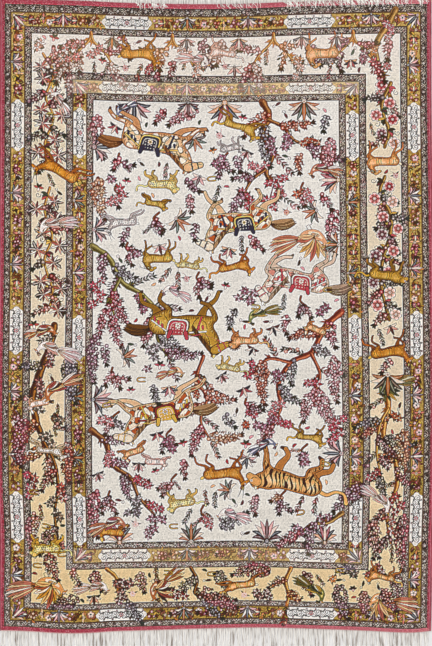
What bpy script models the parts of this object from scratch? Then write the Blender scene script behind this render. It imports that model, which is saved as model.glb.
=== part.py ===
"""A fine silk pile rug, 1.04 m by 1.50 m without its fringes, lying flat.

Metres, +Z up, the underside on Z = 0. X runs across the rug and Y along it; the design's foot is at +Y.
The pile and its woven foundation are one slab. The overcast edge cords run along both sides, and the
warp ends leave both short ends as fringes, each drawn here as one comb.
"""

from collections import namedtuple
from math import sin

import bmesh
import bpy
from mathutils import Vector

# Heights
RUG_THICKNESS = 0.0050  # foundation and clipped pile together
CORD_RADIUS = 0.0022  # overcast edge cord
FRINGE_THICKNESS = 0.0024
GAP = 0.0003  # between pieces that touch

# The edge that the eye follows, red strip and cord included. The ends are drawn in at the middle and the
# sides belly out, as in a rug whose warps and wefts were not quite evenly tight.
SidePlace = namedtuple("SidePlace", "along left right")  # Y, and how far each edge lies from the middle line
SIDES = (
    SidePlace(-0.760, 0.5165, 0.5120),
    SidePlace(-0.680, 0.5172, 0.5138),
    SidePlace(-0.530, 0.5158, 0.5162),
    SidePlace(-0.390, 0.5208, 0.5200),
    SidePlace(-0.150, 0.5212, 0.5212),
    SidePlace(0.080, 0.5180, 0.5190),
    SidePlace(0.300, 0.5166, 0.5160),
    SidePlace(0.500, 0.5155, 0.5135),
    SidePlace(0.760, 0.5150, 0.5130),
)
EndPlace = namedtuple("EndPlace", "across far near")  # X, and how far each end lies from the middle
ENDS = (
    EndPlace(-0.525, 0.7545, 0.7488),
    EndPlace(-0.450, 0.7535, 0.7508),
    EndPlace(-0.366, 0.7515, 0.7556),
    EndPlace(-0.300, 0.7495, 0.7548),
    EndPlace(-0.250, 0.7468, 0.7512),
    EndPlace(-0.190, 0.7447, 0.7492),
    EndPlace(-0.110, 0.7428, 0.7466),
    EndPlace(-0.020, 0.7420, 0.7438),
    EndPlace(0.090, 0.7440, 0.7416),
    EndPlace(0.180, 0.7476, 0.7430),
    EndPlace(0.348, 0.7522, 0.7486),
    EndPlace(0.462, 0.7540, 0.7536),
    EndPlace(0.525, 0.7545, 0.7480),
)
OUTLINE_STEP = 0.045  # spacing of the outline's points

# Fringe
FRINGE_HEADING = 0.006  # where the warps leave the cloth
FRINGE_LENGTH = 0.062
LOCK_PITCH = 0.0096  # a tooth of the comb stands for a lock of warp ends
LOCK_WIDTH = 0.0066
LOCK_SWAY = 0.0022  # how far a lock's tip strays sideways
LOCK_UNEVENNESS = 0.0050  # how much the locks differ in length

RED_SILK = (0.50, 0.05, 0.09, 1.0)
IVORY_SILK = (0.78, 0.72, 0.62, 1.0)
PATTERNED_PILE = (0.62, 0.50, 0.36, 1.0)


def between(rows, at, column):
    """Reads a column of a table at any place, on a smooth curve through its rows."""
    keys = [row[0] for row in rows]
    at = min(max(at, keys[0]), keys[-1])
    i = min(max(sum(key <= at for key in keys) - 1, 0), len(rows) - 2)
    before, a, b, after = (rows[min(max(k, 0), len(rows) - 1)] for k in (i - 1, i, i + 1, i + 2))
    span = b[0] - a[0]
    t = (at - a[0]) / span
    start, end = getattr(a, column), getattr(b, column)
    slope_a = (end - getattr(before, column)) / (b[0] - before[0]) * span
    slope_b = (getattr(after, column) - start) / (after[0] - a[0]) * span
    return (
        start * (1 + 2 * t) * (1 - t) ** 2
        + slope_a * t * (1 - t) ** 2
        + end * t * t * (3 - 2 * t)
        + slope_b * t * t * (t - 1)
    )


def steps(low, high, spacing):
    """Evenly spaced numbers from low to high, both included."""
    count = max(2, round((high - low) / spacing) + 1)
    return [low + (high - low) * i / (count - 1) for i in range(count)]


def left_edge(y):
    return -between(SIDES, y, "left")


def right_edge(y):
    return between(SIDES, y, "right")


def far_end(x):
    return between(ENDS, x, "far")


def near_end(x):
    return -between(ENDS, x, "near")


def corner(side, end, inset):
    """Where a side and an end meet, the side moved in by inset."""
    x = y = 0.0
    for _ in range(4):
        x = side(y) - inset if side(0) > 0 else side(y) + inset
        y = end(x)
    return x, y


def silk(name, colour):
    material = bpy.data.materials.new(name)
    material.use_nodes = True
    shader = material.node_tree.nodes["Principled BSDF"]
    shader.inputs["Base Color"].default_value = colour
    shader.inputs["Roughness"].default_value = 0.55
    shader.inputs["Metallic"].default_value = 0.0
    return material


def add_object(name, data, material):
    data.materials.append(material)
    thing = bpy.data.objects.new(name, data)
    bpy.context.scene.collection.objects.link(thing)
    return thing


def slab(name, outline, thickness, material):
    """A flat piece: its outline in the XY plane, standing thickness high on Z = 0."""
    bm = bmesh.new()
    floor = bm.faces.new([bm.verts.new((x, y, 0)) for x, y in outline])
    raised = bmesh.ops.extrude_face_region(bm, geom=[floor])["geom"]
    bmesh.ops.translate(
        bm, verts=[v for v in raised if isinstance(v, bmesh.types.BMVert)], vec=(0, 0, thickness)
    )
    bmesh.ops.recalc_face_normals(bm, faces=bm.faces)
    mesh = bpy.data.meshes.new(name)
    bm.to_mesh(mesh)
    bm.free()
    return add_object(name, mesh, material)


def make_rug_body(material):
    """Pile and foundation, inside the two edge cords."""
    inset = 2 * CORD_RADIUS + GAP
    near_left, near_right = corner(left_edge, near_end, inset), corner(right_edge, near_end, inset)
    far_left, far_right = corner(left_edge, far_end, inset), corner(right_edge, far_end, inset)
    outline = [(x, near_end(x)) for x in steps(near_left[0], near_right[0], OUTLINE_STEP)]
    outline += [(right_edge(y) - inset, y) for y in steps(near_right[1], far_right[1], OUTLINE_STEP)[1:-1]]
    outline += [(x, far_end(x)) for x in steps(far_left[0], far_right[0], OUTLINE_STEP)[::-1]]
    outline += [(left_edge(y) + inset, y) for y in steps(near_left[1], far_left[1], OUTLINE_STEP)[-2:0:-1]]
    return slab("rug_body", outline, RUG_THICKNESS, material)


def make_edge_cord(name, edge, material):
    """The outer warps, wrapped round and round in red silk, as one round cord."""
    inward = -CORD_RADIUS if edge(0) > 0 else CORD_RADIUS
    low, high = corner(edge, near_end, CORD_RADIUS)[1], corner(edge, far_end, CORD_RADIUS)[1]
    curve = bpy.data.curves.new(name, "CURVE")
    curve.dimensions = "3D"
    curve.bevel_depth = CORD_RADIUS
    curve.bevel_resolution = 2
    curve.use_fill_caps = True
    line = curve.splines.new("POLY")
    places = steps(low, high, OUTLINE_STEP)
    line.points.add(len(places) - 1)
    for point, y in zip(line.points, places):
        point.co = (edge(y) + inward, y, RUG_THICKNESS / 2, 1)
    return add_object(name, curve, material)


def make_fringe(name, end, material):
    """The warp ends of one short end: a heading strip, and the locks of the fringe as a comb."""
    out = 1 if end(0) > 0 else -1
    inset = 2 * CORD_RADIUS + GAP
    left = corner(left_edge, end, inset)[0]
    right = corner(right_edge, end, inset)[0]
    count = round((right - left) / LOCK_PITCH)
    pitch = (right - left) / count
    heading = [(x, end(x) + out * GAP) for x in steps(left, right, OUTLINE_STEP)]
    locks = []
    for i in reversed(range(count)):
        middle = left + (i + 0.5) * pitch
        root = end(middle) + out * (GAP + FRINGE_HEADING)
        tip = root + out * (FRINGE_LENGTH - LOCK_UNEVENNESS * (0.5 + 0.5 * sin(2.7 * i)))
        sway = LOCK_SWAY * sin(0.9 * i) * sin(0.23 * i + 1)
        half, half_tip = LOCK_WIDTH / 2, LOCK_WIDTH / 2 * 0.8
        locks += [
            (middle + half, root),
            (middle + sway + half_tip, tip),
            (middle + sway - half_tip, tip),
            (middle - half, root),
        ]
    ends = [(right, end(right) + out * (GAP + FRINGE_HEADING)), (left, end(left) + out * (GAP + FRINGE_HEADING))]
    return slab(name, heading + ends[:1] + locks + ends[1:], FRINGE_THICKNESS, material)


def centre_on_origin(things):
    """Moves the whole rug so that its box is centred on X = Y = 0."""
    bpy.context.view_layer.update()
    corners = [thing.matrix_world @ Vector(c) for thing in things for c in thing.bound_box]
    shift = [-(min(c[k] for c in corners) + max(c[k] for c in corners)) / 2 for k in (0, 1)]
    for thing in things:
        thing.location.x += shift[0]
        thing.location.y += shift[1]


for old in list(bpy.data.objects):
    bpy.data.objects.remove(old)

red = silk("red_silk", RED_SILK)
ivory = silk("ivory_silk", IVORY_SILK)
centre_on_origin(
    [
        make_rug_body(silk("patterned_pile", PATTERNED_PILE)),
        make_edge_cord("edge_cord_left", left_edge, red),
        make_edge_cord("edge_cord_right", right_edge, red),
        make_fringe("fringe_far", far_end, ivory),
        make_fringe("fringe_near", near_end, ivory),
    ]
)
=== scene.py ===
"""A fine silk pile rug with a garden of blossom, animals and birds inside seven borders.

It is dressed here in the order in which it is made: woven ground, knotted pile, wrapped edges, fringes.
Metres, +Z up. The rug lies flat, and the foot of its design is at +Y.
"""

import random
from collections import namedtuple
from math import atan2, cos, degrees, hypot, pi, radians, sin

import bmesh
import bpy
import numpy as np
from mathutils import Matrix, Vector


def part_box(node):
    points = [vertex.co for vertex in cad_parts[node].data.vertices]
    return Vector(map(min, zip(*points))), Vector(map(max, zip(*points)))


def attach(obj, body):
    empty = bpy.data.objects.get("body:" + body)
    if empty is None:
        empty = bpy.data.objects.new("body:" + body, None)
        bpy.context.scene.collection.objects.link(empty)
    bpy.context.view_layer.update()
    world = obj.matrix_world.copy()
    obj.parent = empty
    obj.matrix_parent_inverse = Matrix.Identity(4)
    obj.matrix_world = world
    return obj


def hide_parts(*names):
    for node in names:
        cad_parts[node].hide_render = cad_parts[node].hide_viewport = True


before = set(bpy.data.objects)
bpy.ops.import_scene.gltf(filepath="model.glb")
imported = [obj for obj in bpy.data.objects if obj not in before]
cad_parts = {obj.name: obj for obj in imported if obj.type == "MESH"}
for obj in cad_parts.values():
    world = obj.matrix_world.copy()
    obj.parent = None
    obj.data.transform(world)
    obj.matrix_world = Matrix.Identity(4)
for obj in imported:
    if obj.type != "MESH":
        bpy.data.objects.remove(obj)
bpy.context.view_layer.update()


# ==== The design =====================================================================================
# Before a rug is woven, its design is drawn on squared paper, a square for a knot. This is that chart: the
# dye of every square, for a rug that came off the loom quite straight. It is drawn from the outside in.

CHART_WIDTH = 1.036
CHART_LENGTH = 1.500
SQUARE = 0.001

COLUMNS, ROWS = round(CHART_WIDTH / SQUARE), round(CHART_LENGTH / SQUARE)
across = ((np.arange(COLUMNS) + 0.5) * SQUARE - CHART_WIDTH / 2).astype(np.float32)
along = ((np.arange(ROWS) + 0.5) * SQUARE - CHART_LENGTH / 2).astype(np.float32)
chart = np.zeros((ROWS, COLUMNS, 3), np.float32)  # sRGB, 0 to 255
worked = np.zeros((ROWS, COLUMNS), np.float32)  # 1 where a motif covers the ground
chance = random.Random(11)
vary, pick = chance.uniform, chance.choice

WHITE = (247, 244, 240)
IVORY = (230, 222, 213)
GOLD = (210, 176, 110)
OLD_GOLD = (190, 152, 78)
MADDER = (166, 52, 76)
INK = (62, 38, 42)
NAVY = (50, 48, 80)
PLUM = (104, 52, 78)
ROSE = (190, 78, 104)
PINK = (224, 150, 160)
BLUSH = (243, 218, 212)
PEACH = (238, 172, 134)
RUST = (194, 100, 36)
OCHRE = (210, 154, 68)
BARK = (126, 68, 32)
SLATE = (70, 82, 84)
STONE = (160, 155, 152)


def mix(a, b, share):
    return tuple(x + (y - x) * share for x, y in zip(a, b))


def patch(low_x, low_y, high_x, high_y):
    """The part of the chart inside a box: its place in the chart, and its squares' X and Y."""
    first = max(0, int((low_x + CHART_WIDTH / 2) / SQUARE))
    last = min(COLUMNS, max(first, int((high_x + CHART_WIDTH / 2) / SQUARE) + 2))
    start = max(0, int((low_y + CHART_LENGTH / 2) / SQUARE))
    stop = min(ROWS, max(start, int((high_y + CHART_LENGTH / 2) / SQUARE) + 2))
    return np.s_[start:stop, first:last], across[None, first:last], along[start:stop, None]


def dye(where, distance, colour, strength=1.0):
    """Dyes the squares of a shape, given how far each lies outside it. One on the rim is part dyed."""
    cover = np.clip(0.5 - distance / SQUARE, 0, 1) * strength
    chart[where] += (np.asarray(colour, np.float32) - chart[where]) * cover[..., None]
    np.maximum(worked[where], cover, out=worked[where])


def stroke_distance(x, y, rows):
    """How far each square lies outside a line of changing thickness. Rows are x, y and half thickness."""
    nearest = np.full(np.broadcast(x, y).shape, 9.0, np.float32)
    for (ax, ay, ar), (bx, by, br) in zip(rows[:-1], rows[1:]):
        dx, dy = bx - ax, by - ay
        t = np.clip(((x - ax) * dx + (y - ay) * dy) / max(dx * dx + dy * dy, 1e-12), 0, 1)
        np.minimum(nearest, np.hypot(x - ax - t * dx, y - ay - t * dy) - ar - (br - ar) * t, out=nearest)
    return nearest


def smooth(rows, fine):
    """A smooth curve through the rows."""
    rows = np.asarray(rows, float)
    ends = np.vstack([2 * rows[:1] - rows[1:2], rows, 2 * rows[-1:] - rows[-2:-1]])
    t = (np.arange(fine) / fine)[:, None]
    spans = [
        0.5 * (2 * b + (c - a) * t + (2 * a - 5 * b + 4 * c - d) * t * t + (3 * b - a - 3 * c + d) * t**3)
        for a, b, c, d in zip(ends, ends[1:], ends[2:], ends[3:])
    ]
    return np.vstack(spans + [rows[-1:]])


def draw(rows, colour, line=None, width=0.0015):
    """Draws a line of changing thickness, with an outline outside it if a line colour is given."""
    rows = np.asarray(rows, float)
    reach = rows[:, 2].max() + width + 2 * SQUARE
    low, high = rows[:, :2].min(0) - reach, rows[:, :2].max(0) + reach
    where, x, y = patch(*low, *high)
    distance = stroke_distance(x, y, rows)
    if line is not None:
        dye(where, distance - width, line)
    dye(where, distance, colour)


def dot(x, y, radius, colour, line=None, width=0.0015):
    draw([(x, y, radius)] * 2, colour, line, width)


def away(x, y, turn, distance):
    """The place that lies a distance away at an angle in degrees."""
    return x + cos(radians(turn)) * distance, y + sin(radians(turn)) * distance


Spot = namedtuple("Spot", "x y size turn flip", defaults=(0.0, 1))  # turn in degrees, flip 1 or -1


def at(spot, rows):
    """Rows drawn at unit size, flipped, turned, scaled and moved to their spot."""
    rows = np.asarray(rows, float)
    c, s = cos(radians(spot.turn)) * spot.size, sin(radians(spot.turn)) * spot.size
    x, y = rows[:, 0], rows[:, 1] * spot.flip
    return np.column_stack([spot.x + c * x - s * y, spot.y + s * x + c * y, rows[:, 2] * spot.size])


def blade(x, y, length, width, turn, curl, fullest=0.45):
    """Rows of a pointed leaf, petal or feather that starts at x, y and bends by curl degrees."""
    t = np.linspace(0, 1, 9)
    heading = np.radians(turn + curl * t)
    step = length / 8
    px = x + step * np.concatenate([[0], np.cumsum(np.cos(heading[:-1]))])
    py = y + step * np.concatenate([[0], np.cumsum(np.sin(heading[:-1]))])
    girth = width / 2 * np.sin(pi * t ** (0.7 / (1.15 - fullest))) ** 0.8
    return np.column_stack([px, py, np.maximum(girth, SQUARE * 0.25)])


def leaf(x, y, length, width, turn, curl, colour, line=INK, vein=None, fullest=0.45):
    rows = blade(x, y, length, width, turn, curl, fullest)
    draw(rows, colour, line, 0.0013)
    if vein is not None:
        rows[:, 2] *= 0.28
        draw(rows[1:-1], vein)


def blossom(x, y, size, petals, turn, petal, glow, line, heart, rim=0.0, eye=0.13):
    """An open flower, seen face on."""
    where, gx, gy = patch(x - size / 2, y - size / 2, x + size / 2, y + size / 2)
    dx, dy = gx - x, gy - y
    r = np.hypot(dx, dy)
    phase = (np.arctan2(dy, dx) / (2 * pi) - turn / 360) * petals
    off = np.abs(phase - np.round(phase))
    edge = size / 2 * (0.60 + 0.40 * np.sqrt(np.maximum(1 - 4 * off * off, 0)))
    seam = (0.5 - off) * 2 * pi / petals * r
    width = max(0.0010, size * 0.06)
    dye(where, r - edge, line)
    inside = np.maximum(r - edge + width, width * 0.5 - seam)
    dye(where, inside, petal)
    if rim:
        dye(where, np.maximum(inside, size * (0.5 - rim) - r), glow)
    else:
        dye(where, np.maximum(inside, r - size * 0.24), glow)
    dye(where, r - size * eye, heart)


Dyes = namedtuple("Dyes", "petal glow line heart leaf")
PINKS = Dyes((216, 108, 122), (254, 226, 218), (66, 24, 32), (150, 48, 66), (58, 54, 48))
ROSES = Dyes((190, 60, 88), (250, 212, 206), (56, 18, 28), WHITE, (56, 44, 40))
PLUMS = Dyes((146, 78, 110), (238, 210, 214), (44, 22, 32), WHITE, (50, 44, 44))
BLUES = Dyes((118, 100, 120), (224, 212, 212), (34, 28, 34), (110, 60, 84), (44, 50, 48))
PEACHES = Dyes((232, 136, 100), (252, 212, 182), (84, 30, 20), (170, 52, 40), (62, 58, 44))
REDS = Dyes((196, 72, 56), (250, 196, 168), (66, 16, 16), WHITE, (58, 44, 38))
PALES = Dyes((236, 176, 166), WHITE, (88, 46, 52), (172, 78, 88), (76, 72, 68))


def raceme(x, y, length, breadth, turn, dyes, curl=30.0):
    """A bending stem crowded with small white-eyed florets, fullest near the top and spiky at its edges."""
    bloom = 0.0085 + 0.0009 * y / CHART_LENGTH * 2  # the florets are larger towards the far end
    heading = turn - curl / 2
    stem = blade(x, y, length, 0.0016, heading, curl)

    def beside(t, side):
        k = int(min(t, 0.999) * 8)
        px, py = stem[k, :2] + (stem[k + 1, :2] - stem[k, :2]) * (t * 8 - k)
        way = radians(heading + curl * t)
        return px - sin(way) * side, py + cos(way) * side

    def half(t):
        return breadth / 2 * min(1.0, 0.35 + 2.2 * t) * (1 - t) ** 0.6

    dark = mix(dyes.petal, dyes.line, 0.6)
    count = round(length / bloom * 4.0)
    for i in range(count):
        t, way = (i + chance.random()) / count, pick((-1, 1))
        px, py = beside(t, way * half(t) * vary(0.7, 1.0))
        lean = heading + curl * t + way * vary(25, 80)
        size = bloom * vary(0.8, 1.35)
        leaf(px, py, size, bloom * 0.34, lean, vary(-35, 35), pick((dyes.leaf, dark)), None)
    draw(stem, BARK, dyes.line, 0.0004)
    for lean in (-22, 4, 24):
        leaf(*stem[-1, :2], bloom * 1.3, bloom * 0.34, heading + curl + lean, lean, dyes.leaf, dyes.line)
    places = []
    for _ in range(round(8 * length * breadth / bloom**2)):
        t = chance.random()
        px, py = beside(t, vary(-1, 1) * half(t))
        size = bloom * vary(0.85, 1.15) * (1.12 - 0.3 * t)
        if all(hypot(px - qx, py - qy) > 0.405 * (size + other) for qx, qy, other in places):
            places.append((px, py, size))
    for px, py, size in places:
        dot(px, py, size * 0.5 + 0.0006, mix(dyes.line, dyes.petal, 0.2))
    for i, (px, py, size) in enumerate(places):
        shade = mix(dyes.petal, pick((dyes.glow, dyes.line)), pick((0.0, 0.1, 0.25)))
        if i % 4 == 3:  # a floret seen from the side, half open
            lean = heading + curl / 2 + vary(-70, 70)
            for spread in (-38, 38, 0):
                leaf(px, py, size * 0.78, size * 0.42, lean + spread, 0, shade, dyes.line, dyes.glow, 0.6)
            continue
        eye, glow = pick((0.10, 0.15, 0.18)), mix(shade, dyes.glow, 0.3)
        blossom(px, py, size, 5, vary(0, 72), shade, glow, dyes.line, dyes.glow, 0, eye)


def bunch(x, y, length, breadth, turn, dyes):
    """A stem crowded with starry flowers of narrow pointed petals in two shades, among dark leaves."""
    way, count = radians(turn), max(1, round(length / 0.0105))
    draw(blade(x, y, length * 0.9, 0.0024, turn, 0), BARK, dyes.line, 0.0006)
    places = []
    for i in range(count):
        t, side = (i + 0.5) / count * length, vary(-0.5, 0.5) * breadth * (count > 1)
        places.append((x + cos(way) * t - sin(way) * side, y + sin(way) * t + cos(way) * side))
    for px, py in places:
        for lean in (vary(0, 120), vary(120, 240), vary(240, 360)):
            leaf(px, py, 0.0165, 0.0046, lean, 40, dyes.leaf, None)
    for px, py in places:
        size, lean, petals = vary(0.0160, 0.0220), vary(0, 72), pick((6, 7, 8))
        shades = (mix(dyes.petal, dyes.glow, pick((0.25, 0.5, 0.7))), mix(dyes.petal, dyes.line, 0.25))
        for k in range(petals):
            reach, colour = size * vary(0.46, 0.62), shades[k % 2]
            leaf(px, py, reach, size * 0.20, lean + 360 / petals * k, 30, colour, dyes.line, None, 0.5)
        dot(px, py, size * 0.08, dyes.glow, dyes.line, 0.0010)


def rose(x, y, size, turn, dyes):
    """A little pale rose of drawn outlines, one ring of petals in another, on a short leafy stalk."""
    outline, pale = mix(dyes.petal, dyes.line, 0.25), mix(dyes.glow, dyes.petal, 0.2)
    draw(blade(x, y, size * 1.2, 0.0016, turn + 180, 50), outline)
    for side in (-1, 1):
        leaf(x, y, size * 0.95, size * 0.26, turn + 180 + 55 * side, 30 * side, dyes.leaf, None)
    for share, petals, inside in (
        (1.0, 6, pale), (0.66, 5, dyes.glow), (0.34, 4, mix(dyes.petal, dyes.glow, 0.2))
    ):
        blossom(x, y, size * share, petals, turn + 90 * share, inside, inside, outline, dyes.petal, 0, 0.05)


# ---- Grounds and stripes ----------------------------------------------------------------------------
# Nested frames of plain ground: the red selvedge strip, then seven borders, then the field. Each width is
# measured in from the edge, and the borders differ a little at the two ends, as in a hand-tied rug.

Frame = namedtuple("Frame", "kind sides far near")  # how wide the border is on each side of the rug
FRAMES = (
    Frame("selvedge", 0.0126, 0.0121, 0.0114),
    Frame("guard", 0.0143, 0.0186, 0.0148),
    Frame("gold", 0.0324, 0.0340, 0.0302),
    Frame("guard", 0.0159, 0.0152, 0.0131),
    Frame("main", 0.0835, 0.0904, 0.0857),
    Frame("guard", 0.0157, 0.0167, 0.0148),
    Frame("gold", 0.0328, 0.0305, 0.0319),
    Frame("guard", 0.0155, 0.0164, 0.0131),
    Frame("field", 0.0, 0.0, 0.0),
)
Box = namedtuple("Box", "left near right far")


def boxes():
    """The outer edge of each frame, from the rug's own edge inwards."""
    box = Box(-CHART_WIDTH / 2, -CHART_LENGTH / 2, CHART_WIDTH / 2, CHART_LENGTH / 2)
    for border in FRAMES:
        yield border.kind, box
        left, right = box.left + border.sides, box.right - border.sides
        box = Box(left, box.near + border.near, right, box.far - border.far)


def box_distance(x, y, box):
    return np.maximum(np.maximum(box.left - x, x - box.right), np.maximum(box.near - y, y - box.far))


EDGES = list(boxes())
FIELD = EDGES[-1][1]
everywhere, all_x, all_y = patch(-9, -9, 9, 9)
# Painted sheen of the silk nap: the pile is painted palest at the far end, 0 at the near end and 1 at the
# far end.
nap_sheen = np.clip(0.5 + all_y / CHART_LENGTH, 0, 1) + 0 * all_x  # 0 at the near end, 1 at the far end
noise = np.random.default_rng(5)


def within(outer, inner):
    """Where a frame lies, between its two boxes."""
    return (box_distance(all_x, all_y, outer) < 0) & (box_distance(all_x, all_y, inner) > 0)


def blotches(shape, size):
    """Chance numbers from 0 to 1, the same over squares of a given size."""
    coarse = noise.random((shape[0] // size + 1, shape[1] // size + 1))
    return coarse.repeat(size, 0).repeat(size, 1)[: shape[0], : shape[1]]


fleck = np.clip(blotches(nap_sheen.shape, 3) + 0.7 * blotches(nap_sheen.shape, 8) - 0.45, 0, 1)
GROUNDS = {"selvedge": MADDER, "guard": STONE, "field": IVORY}
# The gold, main and field grounds are painted paler towards the far end: painted sheen of the nap.
for kind, box in EDGES:
    distance = box_distance(all_x, all_y, box)
    if kind == "gold":
        for band, colour in ((1.0, OLD_GOLD), (nap_sheen, GOLD), (0.6 * fleck, (134, 92, 34))):
            dye(everywhere, distance, colour, band)
    elif kind == "main":
        dye(everywhere, distance, (220, 205, 171))
        dye(everywhere, distance, (222, 213, 193), np.clip((nap_sheen - 0.08) * 2.6, 0, 1))
        dye(everywhere, distance, (240, 228, 220), np.clip((nap_sheen - 0.80) * 8, 0, 1))
    else:
        dye(everywhere, distance, GROUNDS[kind])
        if kind == "field":
            dye(everywhere, distance, (235, 228, 223), nap_sheen)
    if kind != "selvedge":
        dye(everywhere, np.abs(distance) - 0.0007, INK if kind != "field" else (96, 84, 88))


def sides_of(outer, inner):
    """The four sides of a frame, each as its start, its direction, the way in, its length and its width."""
    for start, end, inward, width in (
        ((outer.left, outer.far), (outer.right, outer.far), (0, -1), outer.far - inner.far),
        ((outer.right, outer.far), (outer.right, outer.near), (-1, 0), outer.right - inner.right),
        ((outer.right, outer.near), (outer.left, outer.near), (0, 1), inner.near - outer.near),
        ((outer.left, outer.near), (outer.left, outer.far), (1, 0), inner.left - outer.left),
    ):
        length = hypot(end[0] - start[0], end[1] - start[1])
        direction = ((end[0] - start[0]) / length, (end[1] - start[1]) / length)
        yield start, direction, inward, length, width


# The selvedge strip is ribbed along the sides, lighter towards the cord, and darkest where it meets the
# pile.
RIB_PITCH = 0.0052
strip = -box_distance(all_x, all_y, EDGES[0][1])
ALL_OVER = np.full_like(strip, -1)


def tint(colour, strength):
    """Dyes the whole chart, each square as strongly as it is told."""
    dye(everywhere, ALL_OVER, colour, strength)


beyond = box_distance(all_x, all_y, EDGES[1][1]) > 0
at_side = np.abs(all_x) - CHART_WIDTH / 2 > np.abs(all_y) - CHART_LENGTH / 2
ribs = np.clip(0.5 + 0.5 * np.cos(strip * 2 * pi / RIB_PITCH), 0, 1)
tint((196, 84, 110), beyond * at_side * ribs)
tint((132, 38, 58), beyond * np.clip((strip - 0.0070) / 0.003, 0, 1) * at_side)
tint((206, 120, 130), beyond * ~at_side * np.clip(0.9 * all_x + 0.35, 0, 0.8))
# A painted highlight along the outer edge of the near end's strip, strongest at the left.
edge_highlight = np.clip(1 - strip / 0.0032, 0, 1) * (all_y < 0) * ~at_side * (0.55 - 0.5 * all_x)
tint((246, 232, 226), edge_highlight)

# Guard stripes: dark hooked wedges with an eye, on grey flecked with fine curls.
WEDGE_PITCH = 0.0335
CURL_PITCH = 0.0056


def guard_stripe(start, direction, inward, length, width, base, pale):
    """Base 1 stands the wedges on the inner edge, and 0 on the outer. Pale is how light the grey is."""
    ends = np.array([start, (start[0] + direction[0] * length, start[1] + direction[1] * length)])
    deep = np.vstack([ends, ends + np.array(inward) * width])
    where, x, y = patch(*deep.min(0), *deep.max(0))
    u = (x - start[0]) * direction[0] + (y - start[1]) * direction[1]
    v = (x - start[0]) * inward[0] + (y - start[1]) * inward[1]
    mitre = (np.maximum(v - u, v - (length - u)) < 0) * 1.0  # 0 in the neighbouring side's corner
    pitch = length / round(length / WEDGE_PITCH)
    u = u - (np.floor(u / pitch) + 0.5) * pitch
    up = v if base == 0 else width - v  # height above the stripe's base line
    knots = 0.7 * blotches(u.shape, 3) + 0.5 * blotches(u.shape, 2)
    curl = (np.abs(u) * 0.8 + up * 1.1 + 0.0013 * np.sin(u * 900)) / CURL_PITCH * 2 * pi
    all_over = np.full_like(v, -1)
    dye(where, all_over, (188, 172, 160), mitre)
    dye(where, all_over, (156, 112, 124), mitre * 0.6 * (blotches(u.shape, 7) > 0.7))
    dark_curls = np.clip(0.5 + 0.6 * np.sin(curl) + 1.7 * (knots - pale), 0, 1)
    dye(where, all_over, (38, 26, 28), mitre * dark_curls)
    wedge = (np.abs(u) + up * 0.75 - 0.0068) * 0.8
    dye(where, wedge - 0.0015, (214, 202, 194), mitre * 0.6)
    dye(where, wedge, (44, 24, 30), mitre)
    dye(where, np.hypot(u, up - 0.0030) - 0.0015, (236, 216, 214), mitre)
    floret = np.hypot(np.abs(np.abs(u) - pitch / 2), up - width * 0.52)
    dye(where, floret - 0.0040, (56, 38, 46), mitre)
    dye(where, floret - 0.0024, (220, 206, 200), mitre)
    dye(where, floret - 0.0010, (110, 40, 60), mitre)
    for edge in (0.0008, width - 0.0008):
        dye(where, np.abs(v - edge) - 0.0010, (56, 42, 42), mitre)


guards = [pair for pair in zip(EDGES, EDGES[1:]) if pair[0][0] == "guard"]
for ((_, outer), (_, inner)), base, pale in zip(guards, (1, 0, 1, 0), (0.24, 0.37, 0.42, 0.42)):
    for side in sides_of(outer, inner):
        guard_stripe(*side, base, pale)
    tint((96, 66, 44), 0.12 * within(outer, inner) * (all_y > -0.53))
    tint((222, 202, 186), 0.14 * within(outer, inner) * (all_y < -0.545))


# Gold borders: white panels of running scroll, three to a side and two to an end, with fans and florets
# on the gold between them.
Panel = namedtuple("Panel", "middle half")  # along the side from its own middle, and half its length
SIDE_PANELS = {
    "outer left": (Panel(0.453, 0.061), Panel(-0.034, 0.057), Panel(-0.476, 0.060)),
    "outer right": (Panel(0.450, 0.062), Panel(-0.043, 0.057), Panel(-0.475, 0.059)),
    "inner left": (Panel(0.445, 0.060), Panel(-0.040, 0.053), Panel(-0.470, 0.060)),
    "inner right": (Panel(0.437, 0.061), Panel(-0.044, 0.054), Panel(-0.472, 0.058)),
    "outer far": (Panel(-0.214, 0.060), Panel(0.225, 0.061)),
    "outer near": (Panel(-0.226, 0.061), Panel(0.228, 0.062)),
    "inner far": (Panel(-0.219, 0.062), Panel(0.228, 0.060)),
    "inner near": (Panel(-0.220, 0.063), Panel(0.227, 0.061)),
}


def curl(spot, colour, turns, thick):
    """A tendril that winds into itself, from its outer end at 0, 0 heading up."""
    t = np.linspace(0, 1, 20)
    angle = pi - 2 * pi * turns * t
    r = 0.5 * (1 - 0.82 * t)
    rows = np.column_stack([0.5 + r * np.cos(angle), r * np.sin(angle), thick * (1 - 0.4 * t)])
    draw(at(spot, rows), colour)


def fan(x, y, size, turn, dyes, leaves=7, spread=150.0, slim=0.165):
    """A fan of long petals from one root, the middle one on top, each of the next colour."""
    order = sorted(range(leaves), key=lambda i: -abs(i - (leaves - 1) / 2))
    for i in order:
        side = i / (leaves - 1) - 0.5
        reach = size * (1 - 0.9 * side * side)
        colour = dyes[abs(2 * i - leaves + 1) // 2 % len(dyes)]
        vein = mix(colour, WHITE, 0.4) if size > 0.024 else None
        leaf(x, y, reach, size * slim, turn + side * spread * 0.6, side * spread * 0.8, colour, INK, vein)
    blossom(x, y, size * 0.26, 5, turn, dyes[-1], WHITE, INK, dyes[0])


FAN_DYES = (
    (NAVY, (228, 206, 196), (92, 48, 66), (208, 144, 148)),
    ((220, 194, 182), (160, 70, 90), NAVY, (212, 150, 118)),
    ((172, 92, 46), SLATE, (84, 46, 58), (220, 196, 178)),
    ((100, 52, 70), (206, 148, 150), (216, 194, 184), NAVY),
)


PANEL_FLORET = (206, 96, 106)
LOBES = (
    (-0.002, 0, 0.001, 0.004, 0.006, 0.008, 0.0105),  # in from the tip
    (-0.3, 0, 0.26, 0.44, 0.48, 0.82, 1.0),  # share of the full height there
)


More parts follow.
